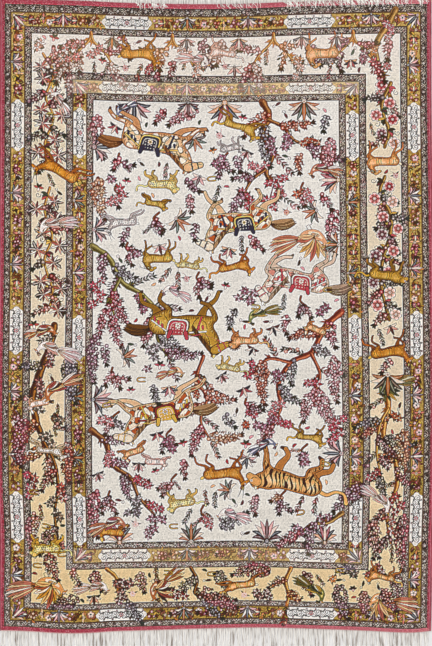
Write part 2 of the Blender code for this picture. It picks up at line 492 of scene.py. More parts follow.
def panel(place, half, height):
    """A white panel with lobed ends and a running scroll of curls. Place turns along and up into X and Y."""
    corners = np.array([place(half, side) for side in (-height, height)] + [place(-half, 0)])
    where, x, y = patch(*(corners.min(0) - 0.004), *(corners.max(0) + 0.004))
    origin, (ex, ey) = place(0, 0), np.subtract(place(1, 0), place(0, 0))
    u = (x - origin[0]) * ex + (y - origin[1]) * ey
    v = (y - origin[1]) * ex - (x - origin[0]) * ey
    reach = half - np.abs(u)
    lobes = np.interp(reach, *LOBES)
    distance = np.maximum(np.abs(v) - height * lobes, -reach)
    dye(where, distance - 0.0017, (78, 42, 44))
    dye(where, distance, (235, 223, 214))
    dark, along = (44, 34, 40), degrees(atan2(ey, ex))
    count = round(half / 0.0122)
    pitch = (half - 0.0085) / count
    # The scroll runs out both ways from the middle, one half the mirror image of the other.
    for way in (-1, 1):
        steps = np.linspace(0, count, 8 * count)
        stem = [(*place(way * pitch * k, 0.30 * height * sin(k * pi)), 0.0006) for k in steps]
        draw(stem, dark)
        for k in range(count):
            side, u_ = (-1) ** k, way * (k + 0.5) * pitch
            outward = along + 90 * side
            spin = along + 90 + 90 * way
            tendril = Spot(*place(u_ + way * 0.0058, -0.26 * side * height), 0.0116, spin, way * side)
            curl(tendril, dark, 1.2, 0.088)
            for lean in (-40, 44):
                leaf(*place(u_, 0.30 * side * height), 0.0072, 0.0033, outward + lean, lean, dark, None)
            floret = place(u_ + way * 0.5 * pitch, 0.76 * side * height)
            blossom(*floret, 0.0052, 5, 0, PANEL_FLORET, WHITE, dark, dark)
    blossom(*place(0, 0), 0.0110, 6, along, PANEL_FLORET, (248, 222, 214), dark, dark)


GOLD_LEAVES = ((142, 98, 40), (112, 74, 32), (176, 130, 54), (132, 66, 36), (86, 66, 44), (196, 120, 62))


def gold_ornament(place, low, high, height, number):
    """Florets, tufts, leaves and tendrils on a stretch of gold, with some of the gold left bare."""
    count = max(1, round((high - low) / 0.0165))
    step = (high - low) / count
    turn = degrees(atan2(*np.subtract(place(1, 0), place(0, 0))[::-1]))
    vine = [
        (*place(low + step * (k / 4), 0.5 * height * sin(k * 0.9)), 0.0008) for k in range(4 * count + 1)
    ]
    draw(vine, (88, 54, 32))
    for _ in range(5 * count):
        lx, ly = place(vary(low, high), vary(-0.85, 0.85) * height)
        size = vary(0.006, 0.011)
        lean, colour, line = vary(0, 360), pick(GOLD_LEAVES), pick((None, (96, 60, 30)))
        leaf(lx, ly, size, size * 0.4, lean, 60, colour, line)
    kind = 0
    for i in range(count):
        u, way = low + (i + 0.5) * step, pick((-1, 1))
        x, y = place(u, way * height * vary(0.1, 0.4))
        kind = (kind + pick((1, 1, 2, 3))) % 6
        for lean, side, size in ((30, -0.62, 0.011), (150, -0.30, 0.010), (-60, 0.75, 0.009)):
            lx, ly = place(u + 0.004 * way, way * side * height)
            colour = pick(((150, 84, 74), BARK, OCHRE, (206, 128, 84)))
            leaf(lx, ly, size, size * 0.40, turn + way * lean, 40, colour, (70, 42, 34))
        if kind == 0:  # an open flower on a cloud of its own colour
            dyes, cloudy = pick((PALES, PINKS, PEACHES)), pick((PEACH, ROSE, RUST, PLUM))
            cloud = [(*place(u + part, 0), 0.0058) for part in (-0.005, 0.005)]
            draw(cloud, mix(cloudy, (150, 100, 50), 0.5))
            lean, petal = vary(0, 72), mix((246, 222, 208), dyes.petal, 0.55)
            blossom(x, y, 0.0175, 5, lean, petal, (248, 232, 218), dyes.line, dyes.line)
        elif kind == 1:  # three florets
            dyes = pick((PINKS, ROSES, PEACHES))
            for part in range(3):
                px, py = place(u + (part - 1) * 0.0062, height * (0.4 - 0.8 * (part % 2)) * way)
                blossom(px, py, 0.0095, 5, 20 * part, dyes.petal, dyes.glow, dyes.line, dyes.glow)
        elif kind == 2:  # a tuft of narrow petals
            base = pick((0, 180)) + turn
            for part in (-2, 2, -1, 1, 0):
                colour = ((238, 212, 178), (206, 110, 100), PLUM)[abs(part)]
                reach = 0.0135 - 0.0012 * abs(part)
                leaf(*place(u, 0), reach, 0.0036, base + part * 34, 14 * part, colour, INK)
        elif kind == 3:  # a little raceme lying along the band
            base = pick((0, 180))
            start = place(u - (0.012 if base == 0 else -0.012), 0)
            raceme(*start, 0.026, 0.017, turn + base, pick((ROSES, PEACHES, PINKS, REDS)))
        elif kind == 4:  # dark curls
            for part in (-1, 1):
                px, py = place(u + 0.005 * part, 0.3 * part * height)
                curl(Spot(px, py, 0.0095, turn + 90 * part, way), (78, 46, 36), 1.1, 0.13)
        else:  # a bud between two bent leaves
            colour = ((204, 116, 104), PEACH, (140, 78, 78))[number % 3]
            for part in (-1, 1):
                leaf(x, y, 0.0125, 0.0044, turn + part * 62 + 90 * (1 - way), 50 * part, colour, INK)
            blossom(x, y, 0.0085, 5, 0, PEACH, (252, 222, 196), INK, RUST)


gold_frames = [pair for pair in zip(EDGES, EDGES[1:]) if pair[0][0] == "gold"]
for ring, ((_, outer), (_, inner)) in zip(("outer", "inner"), gold_frames):
    for box in (outer, inner):
        dye(everywhere, np.abs(box_distance(all_x, all_y, box)) - 0.0024, (98, 66, 44), 0.45)
    names = ("far", "right", "near", "left")
    for name, (start, direction, inward, length, width) in zip(names, sides_of(outer, inner)):
        height = width / 2 - 0.0016
        # from the left on the ends, and from the far end down on the sides, as the panels are listed
        forward = 1 if name in ("far", "left") else -1
        middle = np.add(start, np.multiply(direction, length / 2)) + np.multiply(inward, width / 2)
        way = np.multiply(direction, forward)

        def place(u, v, middle=middle, way=way):
            return (middle[0] + way[0] * u - way[1] * v, middle[1] + way[1] * u + way[0] * v)

        panels = sorted(SIDE_PANELS[f"{ring} {name}"])
        last = length / 2 - width * 0.9
        bounds = [-last] + [p.middle + w * p.half for p in panels for w in (-1, 1)] + [last]
        for number, (low, high) in enumerate(zip(bounds[::2], bounds[1::2])):
            gold_ornament(place, low + 0.004, high - 0.004, height, number + len(name))
            if high - low > 0.13:
                for share in (0.27, 0.73) if high - low > 0.25 else (0.5,):
                    x, y = place(low + (high - low) * share, height * 0.9)
                    turn = degrees(atan2(way[1], way[0])) - 90
                    fan(x, y, 0.029, turn, pick(FAN_DYES), 7, 170)
        for p in panels:
            shift = p.middle
            panel(lambda u, v, shift=shift: place(u + shift, v), p.half, height)
    for x, y, turn, dyes in (
        (outer.left, outer.far, -45, FAN_DYES[1]),
        (outer.right, outer.far, -135, FAN_DYES[0]),
        (outer.left, outer.near, 45, FAN_DYES[1]),
        (outer.right, outer.near, 135, FAN_DYES[0]),
    ):
        fan(*away(x, y, turn, 0.010), 0.034, turn, dyes, 7, 120)


# ---- Beasts and birds -------------------------------------------------------------------------------
# Each beast is drawn from its joints: a back, a neck and four legs of changing thickness run together,
# with a dark outline, a shaded rim and the marks of its coat. Lengths are shares of rump to chest.

Shape = namedtuple(
    "Shape", "loin chest neck_long neck head_long skull muzzle thigh shank foot limb tail_long ear crown"
)
HORSE = Shape(0.150, 0.180, 0.40, 0.085, 0.23, 0.072, 0.044, 0.28, 0.22, 0.15, 0.027, 0.50, 0.09, "crest")
DEER = Shape(0.128, 0.160, 0.36, 0.062, 0.17, 0.060, 0.032, 0.25, 0.22, 0.17, 0.021, 0.13, 0.12, "antlers")
GAZELLE = Shape(0.122, 0.150, 0.34, 0.055, 0.16, 0.056, 0.030, 0.25, 0.24, 0.18, 0.019, 0.12, 0.12, "horns")
HOUND = Shape(0.098, 0.160, 0.24, 0.070, 0.20, 0.066, 0.034, 0.24, 0.20, 0.15, 0.024, 0.45, 0.11, "none")
CAT = Shape(0.140, 0.175, 0.20, 0.105, 0.16, 0.086, 0.052, 0.25, 0.19, 0.13, 0.038, 0.62, 0.085, "none")
LION = Shape(0.135, 0.185, 0.20, 0.115, 0.17, 0.092, 0.058, 0.25, 0.19, 0.13, 0.040, 0.62, 0.075, "mane")
HARE = Shape(0.150, 0.140, 0.15, 0.085, 0.13, 0.080, 0.045, 0.20, 0.19, 0.15, 0.028, 0.08, 0.24, "none")

# Angles in degrees from straight down, forward positive: three for each leg. Neck, head and tail are
# angles from straight ahead, up positive.
Pose = namedtuple("Pose", "fore far_fore hind far_hind neck head tail")
LEAP = Pose((62, 40, 70), (40, 70, 100), (-30, -78, -50), (-10, -70, -70), 48, -22, 150)
CANTER = Pose((58, -30, -70), (20, 45, 20), (30, -50, 10), (-35, -70, -20), 58, -30, 150)
LOOK_BACK = Pose((20, -10, 5), (50, -45, -60), (5, -30, 5), (-30, -60, -10), 115, 200, 140)
STALK = Pose((35, 10, 20), (-15, -30, 30), (15, -55, 0), (-30, -70, -20), 12, -30, 165)
SPRING = Pose((70, 80, 60), (45, 90, 95), (-25, -70, -80), (-50, -60, -95), 24, -12, 160)
PRANCE = Pose((70, -20, -40), (50, -50, -80), (15, -48, 0), (-12, -60, -10), 66, -48, 165)

Coat = namedtuple("Coat", "ground shade light line marks mark")
FAWN = Coat((228, 156, 104), (176, 96, 56), (252, 214, 178), (50, 24, 16), "dapples", (254, 232, 206))
RUSSET = Coat((206, 126, 40), (140, 70, 20), (234, 180, 100), (44, 22, 12), "dapples", (242, 206, 150))
TAWNY = Coat((198, 148, 58), (134, 88, 28), (230, 196, 124), (42, 28, 14), "dapples", (238, 214, 156))
TIGER = Coat((228, 164, 100), (176, 102, 52), (252, 222, 182), (42, 20, 14), "stripes", (72, 32, 20))
PIED = Coat((240, 222, 200), (212, 164, 122), (252, 244, 232), (56, 24, 20), "patches", (186, 84, 44))
ROAN = Coat((230, 186, 144), (192, 122, 80), (246, 222, 194), (56, 26, 18), "patches", (248, 230, 210))
SPOTTED = Coat((240, 204, 132), (192, 144, 76), (252, 232, 186), (46, 28, 20), "spots", (86, 40, 24))
CREAMY = Coat((240, 230, 216), (204, 172, 150), (252, 247, 240), (60, 32, 30), "patches", (212, 136, 124))
BLUSHED = Coat((242, 208, 196), (202, 144, 138), (255, 242, 236), (60, 32, 38), "dapples", (214, 126, 128))
GREY_COAT = Coat((222, 212, 206), (160, 144, 148), (252, 246, 242), (50, 40, 48), "spots", (132, 114, 124))


def reach(start, turns, lengths, girths, down=True):
    """Rows of a limb: each part's angle and length, and how thick it is at each joint."""
    rows = [(*start, girths[0])]
    for turn, length, girth in zip(turns, lengths, girths[1:]):
        way = (sin(radians(turn)), -cos(radians(turn))) if down else (cos(radians(turn)), sin(radians(turn)))
        rows.append((rows[-1][0] + length * way[0], rows[-1][1] + length * way[1], girth))
    return rows


def melt(parts, k):
    """The parts' outlines run together."""
    total = sum(np.exp(-np.clip(part, -0.05, 0.05) / k) for part in parts)
    return -k * np.log(total)


def coat_marks(kind, u, v):
    """How far each square of a beast lies outside its coat's marks, in shares of its length."""
    if kind == "patches":
        one, other = np.sin(35 * u + 1.6 * np.sin(19 * v)), np.sin(40 * v + 1.9 * np.sin(16 * u + 1))
        return (0.62 - one - other) * 0.019
    if kind == "stripes":
        broken = 0.35 + 0.55 * np.cos(21 * v + 2.2 * np.sin(13 * u))
        return (broken - np.sin(72 * u + 2.0 * np.sin(17 * v) + 1.3 * np.sin(19 * u))) * 0.013
    pitch, size = (0.082, 0.020) if kind == "spots" else (0.125, 0.016)
    u, v = u + 0.016 * np.sin(23 * v + 9 * u), v + 0.014 * np.sin(29 * u)
    row = np.floor(v / pitch)
    return np.hypot((u / pitch + 0.5 * row) % 1 - 0.5, (v / pitch) % 1 - 0.5) * pitch - size


Harness = namedtuple("Harness", "hem ground floret")
ROSE_CLOTH = Harness((240, 226, 214), (184, 58, 84), (244, 214, 190))
NAVY_CLOTH = Harness((226, 172, 96), (48, 48, 92), (240, 214, 196))
GOLD_CLOTH = Harness((134, 40, 62), (212, 164, 72), (240, 228, 220))


# Inner lines of haunch, belly, shoulder, neck and ribs, and the places of a harness's tassels.
FOLDS = (
    ((-0.20, 0.10), (-0.22, -0.04), (-0.30, -0.15)),
    ((-0.50, -0.03), (-0.42, -0.10), (-0.33, -0.13)),
    ((0.20, 0.09), (0.21, -0.05), (0.28, -0.15)),
    ((0.45, 0.03), (0.42, -0.06), (0.34, -0.12)),
    ((-0.16, -0.07), (0.0, -0.10), (0.16, -0.10)),
    ((0.42, 0.10), (0.50, 0.22), (0.53, 0.36)),
    ((0.12, 0.10), (0.15, 0.0), (0.13, -0.09)),
    ((0.04, 0.11), (0.07, 0.0), (0.05, -0.09)),
    ((-0.27, 0.13), (-0.33, 0.06), (-0.34, -0.04)),
    ((-0.44, 0.06), (-0.40, 0.0), (-0.42, -0.06)),
)
TASSELS = ((0.24, 0.09), (0.31, 0.05), (0.38, 0.04), (-0.31, 0.06), (-0.38, 0.01), (-0.45, -0.05))


def beast(spot, shape, pose, coat, cloth=None):
    """Drawn from the far side forwards: far legs and tail, the body in one, coat, harness, head, crown."""
    edge = max(0.0013, spot.size * 0.0155)
    fine = max(0.0007, spot.size * 0.0078)
    dark = mix(coat.shade, coat.line, 0.4)

    def leg(root, turns, girth):
        lengths = (0.45 * shape.thigh, 0.55 * shape.thigh, shape.shank, shape.foot)
        girths = (girth, girth * 0.66, shape.limb * 1.5, shape.limb * 0.95, shape.limb * 0.8)
        return reach(root, (turns[0], *turns), lengths, girths)

    def hoof(rows, turn):
        paw = reach(rows[-1][:2], (turn + 50,), (shape.limb * 1.9,), (shape.limb * 1.15, shape.limb * 0.7))
        draw(at(spot, paw), mix(coat.line, coat.shade, 0.3), coat.line, 0.0004)

    def hair(root, length, width, turn, bend, colour):
        """A lock, a tail or an ear."""
        x, y, _ = at(spot, [(*root, 0)])[0]
        heading, bend = spot.turn + spot.flip * turn, spot.flip * bend
        leaf(x, y, length * spot.size, width * spot.size, heading, bend, colour, coat.line)

    hip, shoulder, tail_root = (-0.37, 0.0), (0.33, -0.02), (-0.50, 0.07)
    far_legs = (
        (leg((hip[0] + 0.05, hip[1] - 0.03), pose.far_hind, shape.loin * 0.9), pose.far_hind[2]),
        (leg((shoulder[0] - 0.04, shoulder[1] - 0.03), pose.far_fore, shape.chest * 0.6), pose.far_fore[2]),
    )
    for rows, turn in far_legs:
        hoof(rows, turn)
        draw(at(spot, smooth(rows, 4)), mix(coat.shade, coat.ground, 0.25), coat.line, edge)

    # tail: a plume of long hair, a whip with a tuft, or a short flag
    turn = pose.tail
    if shape.crown == "crest":
        for i in range(7):
            colour = mix(coat.shade, coat.line, 0.25 + 0.3 * (i % 2))
            length = shape.tail_long * (1 - 0.05 * abs(i - 3))
            hair(tail_root, length, 0.07, turn + (i - 3) * 7, 70 - 8 * i, colour)
    elif shape.tail_long > 0.3:
        bends, girths = (turn, turn + 45, turn + 10, turn - 50), (0.030, 0.024, 0.020, 0.018, 0.030)
        whip = reach(tail_root, bends, (shape.tail_long / 4,) * 4, girths, down=False)
        draw(at(spot, smooth(whip, 4)), coat.ground, coat.line, edge)
    else:
        hair(tail_root, shape.tail_long, 0.07, turn, 0, coat.light)

    waist = ((-0.12, 0.02, shape.loin), (0.12, -0.01, shape.loin * 1.08))
    back = [(-0.37, 0.01, shape.loin * 1.16), *waist, (0.36, 0.0, shape.chest)]
    turns, girths = (pose.neck - 14, pose.neck + 12), (shape.chest * 0.78, shape.neck * 1.3, shape.neck)
    throat = reach((0.40, 0.06), turns, (shape.neck_long / 2,) * 2, girths, down=False)
    nape = throat[-1][:2]
    near_legs = (
        (leg(hip, pose.hind, shape.loin * 1.1), pose.hind[2]),
        (leg(shoulder, pose.fore, shape.chest * 0.72), pose.fore[2]),
    )
    for rows, turn in near_legs:
        hoof(rows, turn)
    if shape.crown == "mane":
        cx, cy, _ = at(spot, [throat[1]])[0]
        for ring in (1.0, 0.72):
            for i in range(17):
                colour, turn = mix(coat.shade, coat.line, 0.45 * (i % 2) + 0.1), i * 21.2 + 9 * ring
                leaf(cx, cy, spot.size * 0.27 * ring, spot.size * 0.06, turn, 25, colour, coat.line)

    parts = [at(spot, smooth(rows, 4)) for rows in (near_legs[0][0], near_legs[1][0], back, throat)]
    every = np.vstack(parts)
    margin = spot.size * 0.22
    where, x, y = patch(*(every[:, :2].min(0) - margin), *(every[:, :2].max(0) + margin))
    c, s = cos(radians(spot.turn)) / spot.size, sin(radians(spot.turn)) / spot.size
    u, v = (x - spot.x) * c + (y - spot.y) * s, ((y - spot.y) * c - (x - spot.x) * s) * spot.flip
    body = melt([stroke_distance(x, y, rows) for rows in parts], spot.size * 0.014)
    inside = body + edge * 0.8
    dye(where, body - edge, coat.line)
    dye(where, body, coat.shade)
    for depth, share in ((0.014, 0.45), (0.030, 0.6), (0.050, 0.8)):  # the rim is shaded
        dye(where, body + depth * spot.size, coat.ground, share)
    # haunch, shoulder and back catch the light
    for lu, lv, size in ((-0.36, 0.03, 0.11), (0.34, 0.03, 0.11), (0.0, 0.04, 0.13)):
        dye(where, inside, coat.light, 0.75 * np.exp(-(((u - lu) ** 2 + 2 * (v - lv) ** 2) / size**2)))
    dye(where, np.abs(body + 0.021 * spot.size) - fine * 0.5, dark, 0.6)
    strokes = np.abs((u * 24 + 9 * v + 0.6 * np.sin(21 * v)) % 1 - 0.5) * 0.030 * spot.size
    rim_band = np.maximum(body + 0.020 * spot.size, -body - 0.058 * spot.size)
    dye(where, np.maximum(strokes - fine * 0.7, rim_band), mix(coat.shade, coat.line, 0.35), 0.8)
    marks = coat_marks(coat.marks, u + 0.13 * (spot.x * 10 % 1), v) * spot.size
    if coat.marks == "patches":
        dye(where, np.maximum(marks - 0.0014, inside), coat.line, 0.9)
    dye(where, np.maximum(marks, inside), coat.mark, 1.0 if coat.marks != "dapples" else 0.4)
    for folds in FOLDS:
        fold = at(spot, smooth([(*knee, 0) for knee in folds], 4))
        dye(where, np.maximum(stroke_distance(x, y, fold) - fine, inside), coat.line, 0.85)
    if cloth is not None:
        round_u, round_v = np.abs(u + 0.05 + 0.12 * v) / 0.19, np.abs(v - 0.08) / 0.19
        drape = ((round_u**4 + round_v**4) ** 0.25 - 1) * 0.18 * spot.size
        rings = ((0, coat.line), (0.8, cloth.hem), (2.0, coat.line))
        for inset, colour in rings + ((2.7, cloth.ground), (4.4, cloth.floret), (4.9, cloth.ground)):
            dye(where, np.maximum(drape + inset * edge, body - edge * 0.5), colour)
        dots = np.hypot((u / 0.052) % 1 - 0.5, (v / 0.052) % 1 - 0.5) * 0.052 * spot.size
        dye(where, np.maximum(np.maximum(drape + 4.6 * edge, dots - 0.0012), body + edge), cloth.floret)
        fx, fy, size = at(spot, [(-0.05, 0.02, 0.11)])[0]
        blossom(fx, fy, size, 6, 20, cloth.floret, cloth.hem, coat.line, cloth.ground)
        for start, end, colour in (
            ((0.26, 0.16), (0.34, -0.16), cloth.ground),
            ((0.16, 0.12), (0.44, 0.08), cloth.hem),
            ((-0.24, 0.12), (-0.50, -0.04), cloth.hem),
        ):
            strap = stroke_distance(x, y, at(spot, [(*start, 0.010), (*end, 0.010)]))
            dye(where, np.maximum(strap - edge * 0.6, inside), coat.line)
            dye(where, np.maximum(strap, inside), colour)
        for px, py in TASSELS:
            draw(at(spot, [(px, py, 0.012), (px - 0.01, py - 0.045, 0.016)]), cloth.ground, coat.line, fine)
        for px, lean in ((-0.17, -0.03), (0.09, 0.03)):  # the saddle's two bows stand above the back
            draw(at(spot, [(px, 0.13, 0.030), (px + lean, 0.22, 0.022)]), cloth.ground, coat.line, edge)

    if shape.crown == "crest":  # combed hair along the neck, root to poll
        for k in range(9):
            t, base = k / 8, throat[0]
            ax, ay = base[0] + (nape[0] - base[0]) * t, base[1] + (nape[1] - base[1]) * t
            colour = mix(coat.shade, coat.line, 0.30 + 0.35 * (k % 2))
            root = away(ax, ay, pose.neck + 90, 0.13 - 0.06 * t)
            hair(root, 0.17, 0.05, pose.neck + 165, 30, colour)

    # head: ear, skull and muzzle, jaw, mouth and eye
    for lean, colour in ((22, coat.shade), (-6, coat.light)):
        root = away(*nape, pose.head + 112, shape.skull * 0.7)
        hair(root, shape.ear, shape.ear * 0.42, pose.head + 138 + lean, 0, colour)
    cheek = away(*nape, pose.head, 0.05)
    tip = away(*cheek, pose.head, shape.head_long - 0.05)
    girths = (shape.skull * 0.9, shape.skull, shape.skull * 0.86, shape.muzzle)
    face = [(*joint, girth) for joint, girth in zip((nape, cheek, cheek, tip), girths)]
    head = at(spot, face)
    draw(head, mix(coat.ground, coat.shade, 0.3), coat.line, edge)
    head[:, 2] *= 0.62
    draw(head, coat.ground)
    bends = [away(*cheek, pose.head + lean, shape.skull * 0.6) for lean in (-100, -40, 20, 70)]
    jaw = smooth([(*bend, fine / spot.size) for bend in bends], 3)
    draw(at(spot, jaw), mix(coat.shade, coat.line, 0.5))
    lip = away(*tip, pose.head, shape.muzzle * 0.7)
    draw(at(spot, reach(lip, (pose.head + 205,), (0.05,), (0.004, 0.002), down=False)), coat.line)
    ex, ey, eye = at(spot, [(*away(*nape, pose.head + 28, shape.skull * 1.1), 0.020)])[0]
    dot(ex, ey, eye, WHITE, coat.line, 0.0003)
    dot(ex, ey, eye * 0.45, coat.line)
    if cloth is not None:  # bridle and rein
        for share in (0.35, 0.8):
            px, py = nape[0] + (tip[0] - nape[0]) * share, nape[1] + (tip[1] - nape[1]) * share
            half = shape.skull * (1 - share * 0.4)
            strap = [(*away(px, py, pose.head + 90, half * way), 0.009) for way in (-1, 1)]
            draw(at(spot, strap), cloth.ground, coat.line, 0.0004)
        rein = smooth([(*tip, 0.005), (0.40, 0.14, 0.005), (0.13, 0.20, 0.005)], 4)
        draw(at(spot, rein), cloth.ground)
    branches = {"antlers": ((12, 40), (25, -15, -45), 0.12), "horns": ((14, 34), (30, -15, 10), 0.10)}
    if shape.crown in branches:
        leans, bends, part = branches[shape.crown]
        colour = mix(coat.line, coat.shade, 0.2)
        for lean in leans:
            turns = [pose.head + 92 + lean + sum(bends[:k]) for k in range(4)]
            horn = reach(nape, turns, (part,) * 4, (0.014, 0.013, 0.012, 0.010, 0.006), down=False)
            draw(at(spot, smooth(horn, 3)), colour)
            for k, tine in ((1, -50), (2, -55), (3, 40)) if shape.crown == "antlers" else ():
                point = reach(horn[k][:2], (turns[k] + tine,), (0.09,), (0.010, 0.005), down=False)
                draw(at(spot, point), colour)


Plumage = namedtuple("Plumage", "body breast wing tail line")
PHEASANT = Plumage(
    (190, 112, 92), (236, 204, 176), ((170, 76, 96), (228, 176, 144), (88, 58, 78), (240, 226, 214)),
    (180, 104, 84), (78, 34, 38),
)
PARROT = Plumage(
    (120, 124, 84), (214, 196, 128), ((196, 154, 84), (112, 110, 74), (62, 74, 80), (232, 216, 170)),
    (140, 112, 66), (54, 42, 32),
)
DOVE = Plumage(
    (238, 220, 214), (250, 242, 238), ((214, 156, 164), (242, 230, 224), (138, 104, 126), (248, 242, 238)),
    (210, 164, 168), (92, 56, 72),
)
JAY = Plumage(
    (112, 112, 148), (226, 216, 220), ((60, 58, 96), (190, 186, 206), (150, 80, 104), (236, 232, 234)),
    (86, 84, 124), (40, 32, 52),
)
FIREBIRD = Plumage(
    (222, 160, 124), (244, 218, 186), ((186, 96, 88), (228, 178, 136), (204, 150, 88), (240, 212, 188)),
    (190, 110, 92), (84, 40, 36),
)


def bird(spot, plumage, tail=0.7, plumes=4, wing=0.55, raised=False):
    """A bird in profile. Raised wings are for one that flies up."""
    edge = max(0.0012, spot.size * 0.015)

    def stroke(rows, colour, line=None, width=0.0015):
        draw(at(spot, rows), colour, line, width)

    def feather(x, y, length, width, turn, bend, colour):
        px, py, _ = at(spot, [(x, y, 1)])[0]
        heading, bend = spot.turn + spot.flip * turn, spot.flip * bend
        vein = mix(colour, plumage.line, 0.45) if spot.size > 0.05 else None
        leaf(px, py, length * spot.size, width * spot.size, heading, bend, colour, plumage.line, vein)

    for i in range(plumes):
        share = i / max(1, plumes - 1) - 0.5
        reach, colour = tail * (1 - 0.35 * abs(share)), (plumage.tail, plumage.wing[i % 4])[i % 2]
        feather(-0.26, 0.02, reach, 0.10, 186 + share * 46, -28 * share - 18, colour)
    for x in (0.0, 0.10):
        stroke([(x, -0.12, 0.012), (x - 0.03, -0.28, 0.010), (x + 0.06, -0.31, 0.008)], plumage.line)
    if raised:
        for i in range(6):
            feather(0.06, 0.08, wing * (1.1 - 0.09 * i), 0.12, 62 + i * 17, 30, plumage.wing[(i + 1) % 4])
    belly, neck = ((-0.10, -0.02, 0.14), (0.12, 0.02, 0.15)), ((0.26, 0.12, 0.10), (0.34, 0.26, 0.055))
    body = smooth([(-0.30, 0.02, 0.06), *belly, *neck, (0.36, 0.36, 0.062)], 4)
    stroke(body, plumage.body, plumage.line, edge)
    stroke([(0.02, -0.07, 0.05), (0.20, 0.02, 0.06), (0.29, 0.16, 0.03)], plumage.breast)
    for k in range(7 if spot.size > 0.05 else 0):  # scaled breast
        colour = mix(plumage.body, plumage.breast, 0.5 * (k % 2))
        feather(0.24 - 0.05 * k, 0.07 - 0.035 * (k % 3), 0.09, 0.055, 200, 0, colour)
    stroke([(0.38, 0.37, 0.03), (0.50, 0.33, 0.006)], (206, 140, 60), plumage.line, edge * 0.7)
    for i in range(5 if not raised else 6):
        colour = plumage.wing[i % 4]
        if raised:
            feather(0.10, 0.04, wing * (1.25 - 0.10 * i), 0.13, 100 + i * 16, 34, colour)
        else:
            feather(0.16, 0.08 - 0.025 * i, wing * (1.0 - 0.10 * i), 0.11, 172 + 9 * i, -10, colour)
    for i in range(3):
        feather(0.33, 0.40, 0.14, 0.035, 115 + 22 * i, 25, plumage.wing[i % 4])
    ex, ey, eye = at(spot, [(0.385, 0.385, 0.022)])[0]
    dot(ex, ey, eye, WHITE)
    dot(ex, ey, eye * 0.5, INK)


# ---- Trees, sprays and small things -----------------------------------------------------------------
# The trees are brown stems with stubs where twigs broke off, hung with blossom. Sprays, lilies, rosettes,
# hoof marks and tendrils fill the ground between them.

MM = 0.001

Wood = namedtuple("Wood", "bark light dark")
BROWN = Wood((120, 64, 36), (182, 118, 70), (48, 24, 18))
RED_WOOD = Wood((144, 56, 40), (206, 112, 80), (62, 20, 18))
GREEN_WOOD = Wood((116, 104, 56), (174, 158, 96), (50, 42, 24))
GOLD_WOOD = Wood((190, 112, 48), (232, 178, 110), (90, 46, 24))
TAN_WOOD = Wood((142, 98, 50), (200, 156, 92), (60, 38, 22))


def trunk(points, wood, stubs):
    """A winding stem through points in millimetres: x, y and half thickness. It has stubs and knots."""
    rows = smooth(np.asarray(points, float) * MM, 6)
    rows[:, 2] *= 1 + 0.15 * np.sin(1.9 * np.arange(len(rows)))
    steps = np.diff(rows[:, :2], axis=0)
    for i in range(stubs):
        k = int((i + 0.6) / stubs * (len(steps) - 1))
        heading = degrees(atan2(steps[k][1], steps[k][0])) + (55 if i % 2 else -55)
        x, y, half = rows[k]
        for lean, long in ((0, 0.015), (32, 0.010), (-28, 0.008)):
            draw(blade(x, y, long + half, 0.0036, heading + lean, 15, 0.2), wood.bark, wood.dark, 0.0007)
    draw(rows, wood.bark, wood.dark, 0.0011)
    side = np.column_stack([-steps[:, 1], steps[:, 0]]) / np.maximum(np.hypot(*steps.T), 1e-9)[:, None]
    for shift, colour in ((0.40, wood.light), (-0.55, mix(wood.bark, wood.dark, 0.6))):
        strand = rows[:-1].copy()
        strand[:, :2] += side * rows[:-1, 2:] * shift
        strand[:, 2] *= 0.26
        draw(strand, colour)
    for k in range(2, len(rows) - 2, 3):
        x, y, half = rows[k]
        nx, ny = side[k] * half * 0.8
        draw([(x - nx, y - ny, 0.0004), (x + nx * 0.4, y + ny * 0.4, 0.0002)], wood.dark)
    return rows


def stops(rows, first, every):
    """Places along a stem, first and then every so far: x, y, the stem's angle and the side in turn."""
    run = np.concatenate([[0], np.cumsum(np.hypot(*np.diff(rows[:, :2], axis=0).T))])
    side = pick((-1, 1))
    for reached in np.arange(first, run[-1], every):
        k = min(int(np.searchsorted(run, reached)), len(rows) - 2)
        x, y = rows[k, :2]
        yield x, y, degrees(atan2(rows[k + 1, 1] - y, rows[k + 1, 0] - x)), side
        side = -side


def tree(points, wood, dyes, size, stubs=3, every=34):
    """A stem hung on both sides with clusters of a given length in millimetres, and one at its tip."""
    rows = trunk(points, wood, stubs)
    hung = [(x, y, turn + side * vary(30, 65)) for x, y, turn, side in stops(rows, 0.03, every * MM)]
    hung.append((*rows[-1, :2], degrees(atan2(*(rows[-1, 1::-1] - rows[-3, 1::-1])))))
    for x, y, turn in hung:
        length = size * MM * vary(0.75, 1.2)
        kinds = ((raceme, 1.1), (raceme, 1.0), (raceme, 0.9), (bunch, 0.62), (bunch, 0.5), (spray, 0.8))
        grow, share = pick(kinds)
        grow(x, y, length * share, length * vary(0.34, 0.46), turn, pick(dyes))


def spray(x, y, length, breadth, turn, dyes):
    """A thin stem with dark pointed leaves in pairs, and a floret now and then."""
    bend = vary(-35, 35)
    rows = blade(x, y, length, 0.0020, turn, bend, 0.2)
    draw(rows, mix(BARK, INK, 0.4))
    size = min(0.0125, length * 0.24)
    for k in range(1, 9):
        heading = turn + bend * k / 8
        for way in (-1, 1):
            colour = pick((dyes.leaf, dyes.leaf, mix(dyes.petal, dyes.line, 0.5)))
            reach, lean = size * vary(0.8, 1.1), heading + way * vary(32, 62)
            leaf(*rows[k, :2], reach, size * 0.34, lean, -20 * way, colour, None)
        if k % 4 == 3 and breadth > 0:
            px, py = away(*rows[k, :2], heading + pick((-60, 60)), size * 0.5)
            blossom(px, py, size * 0.85, 5, 36 * k, dyes.petal, dyes.glow, dyes.line, dyes.glow)
    leaf(*rows[-1, :2], size, size * 0.34, turn + bend, 0, dyes.leaf, None)


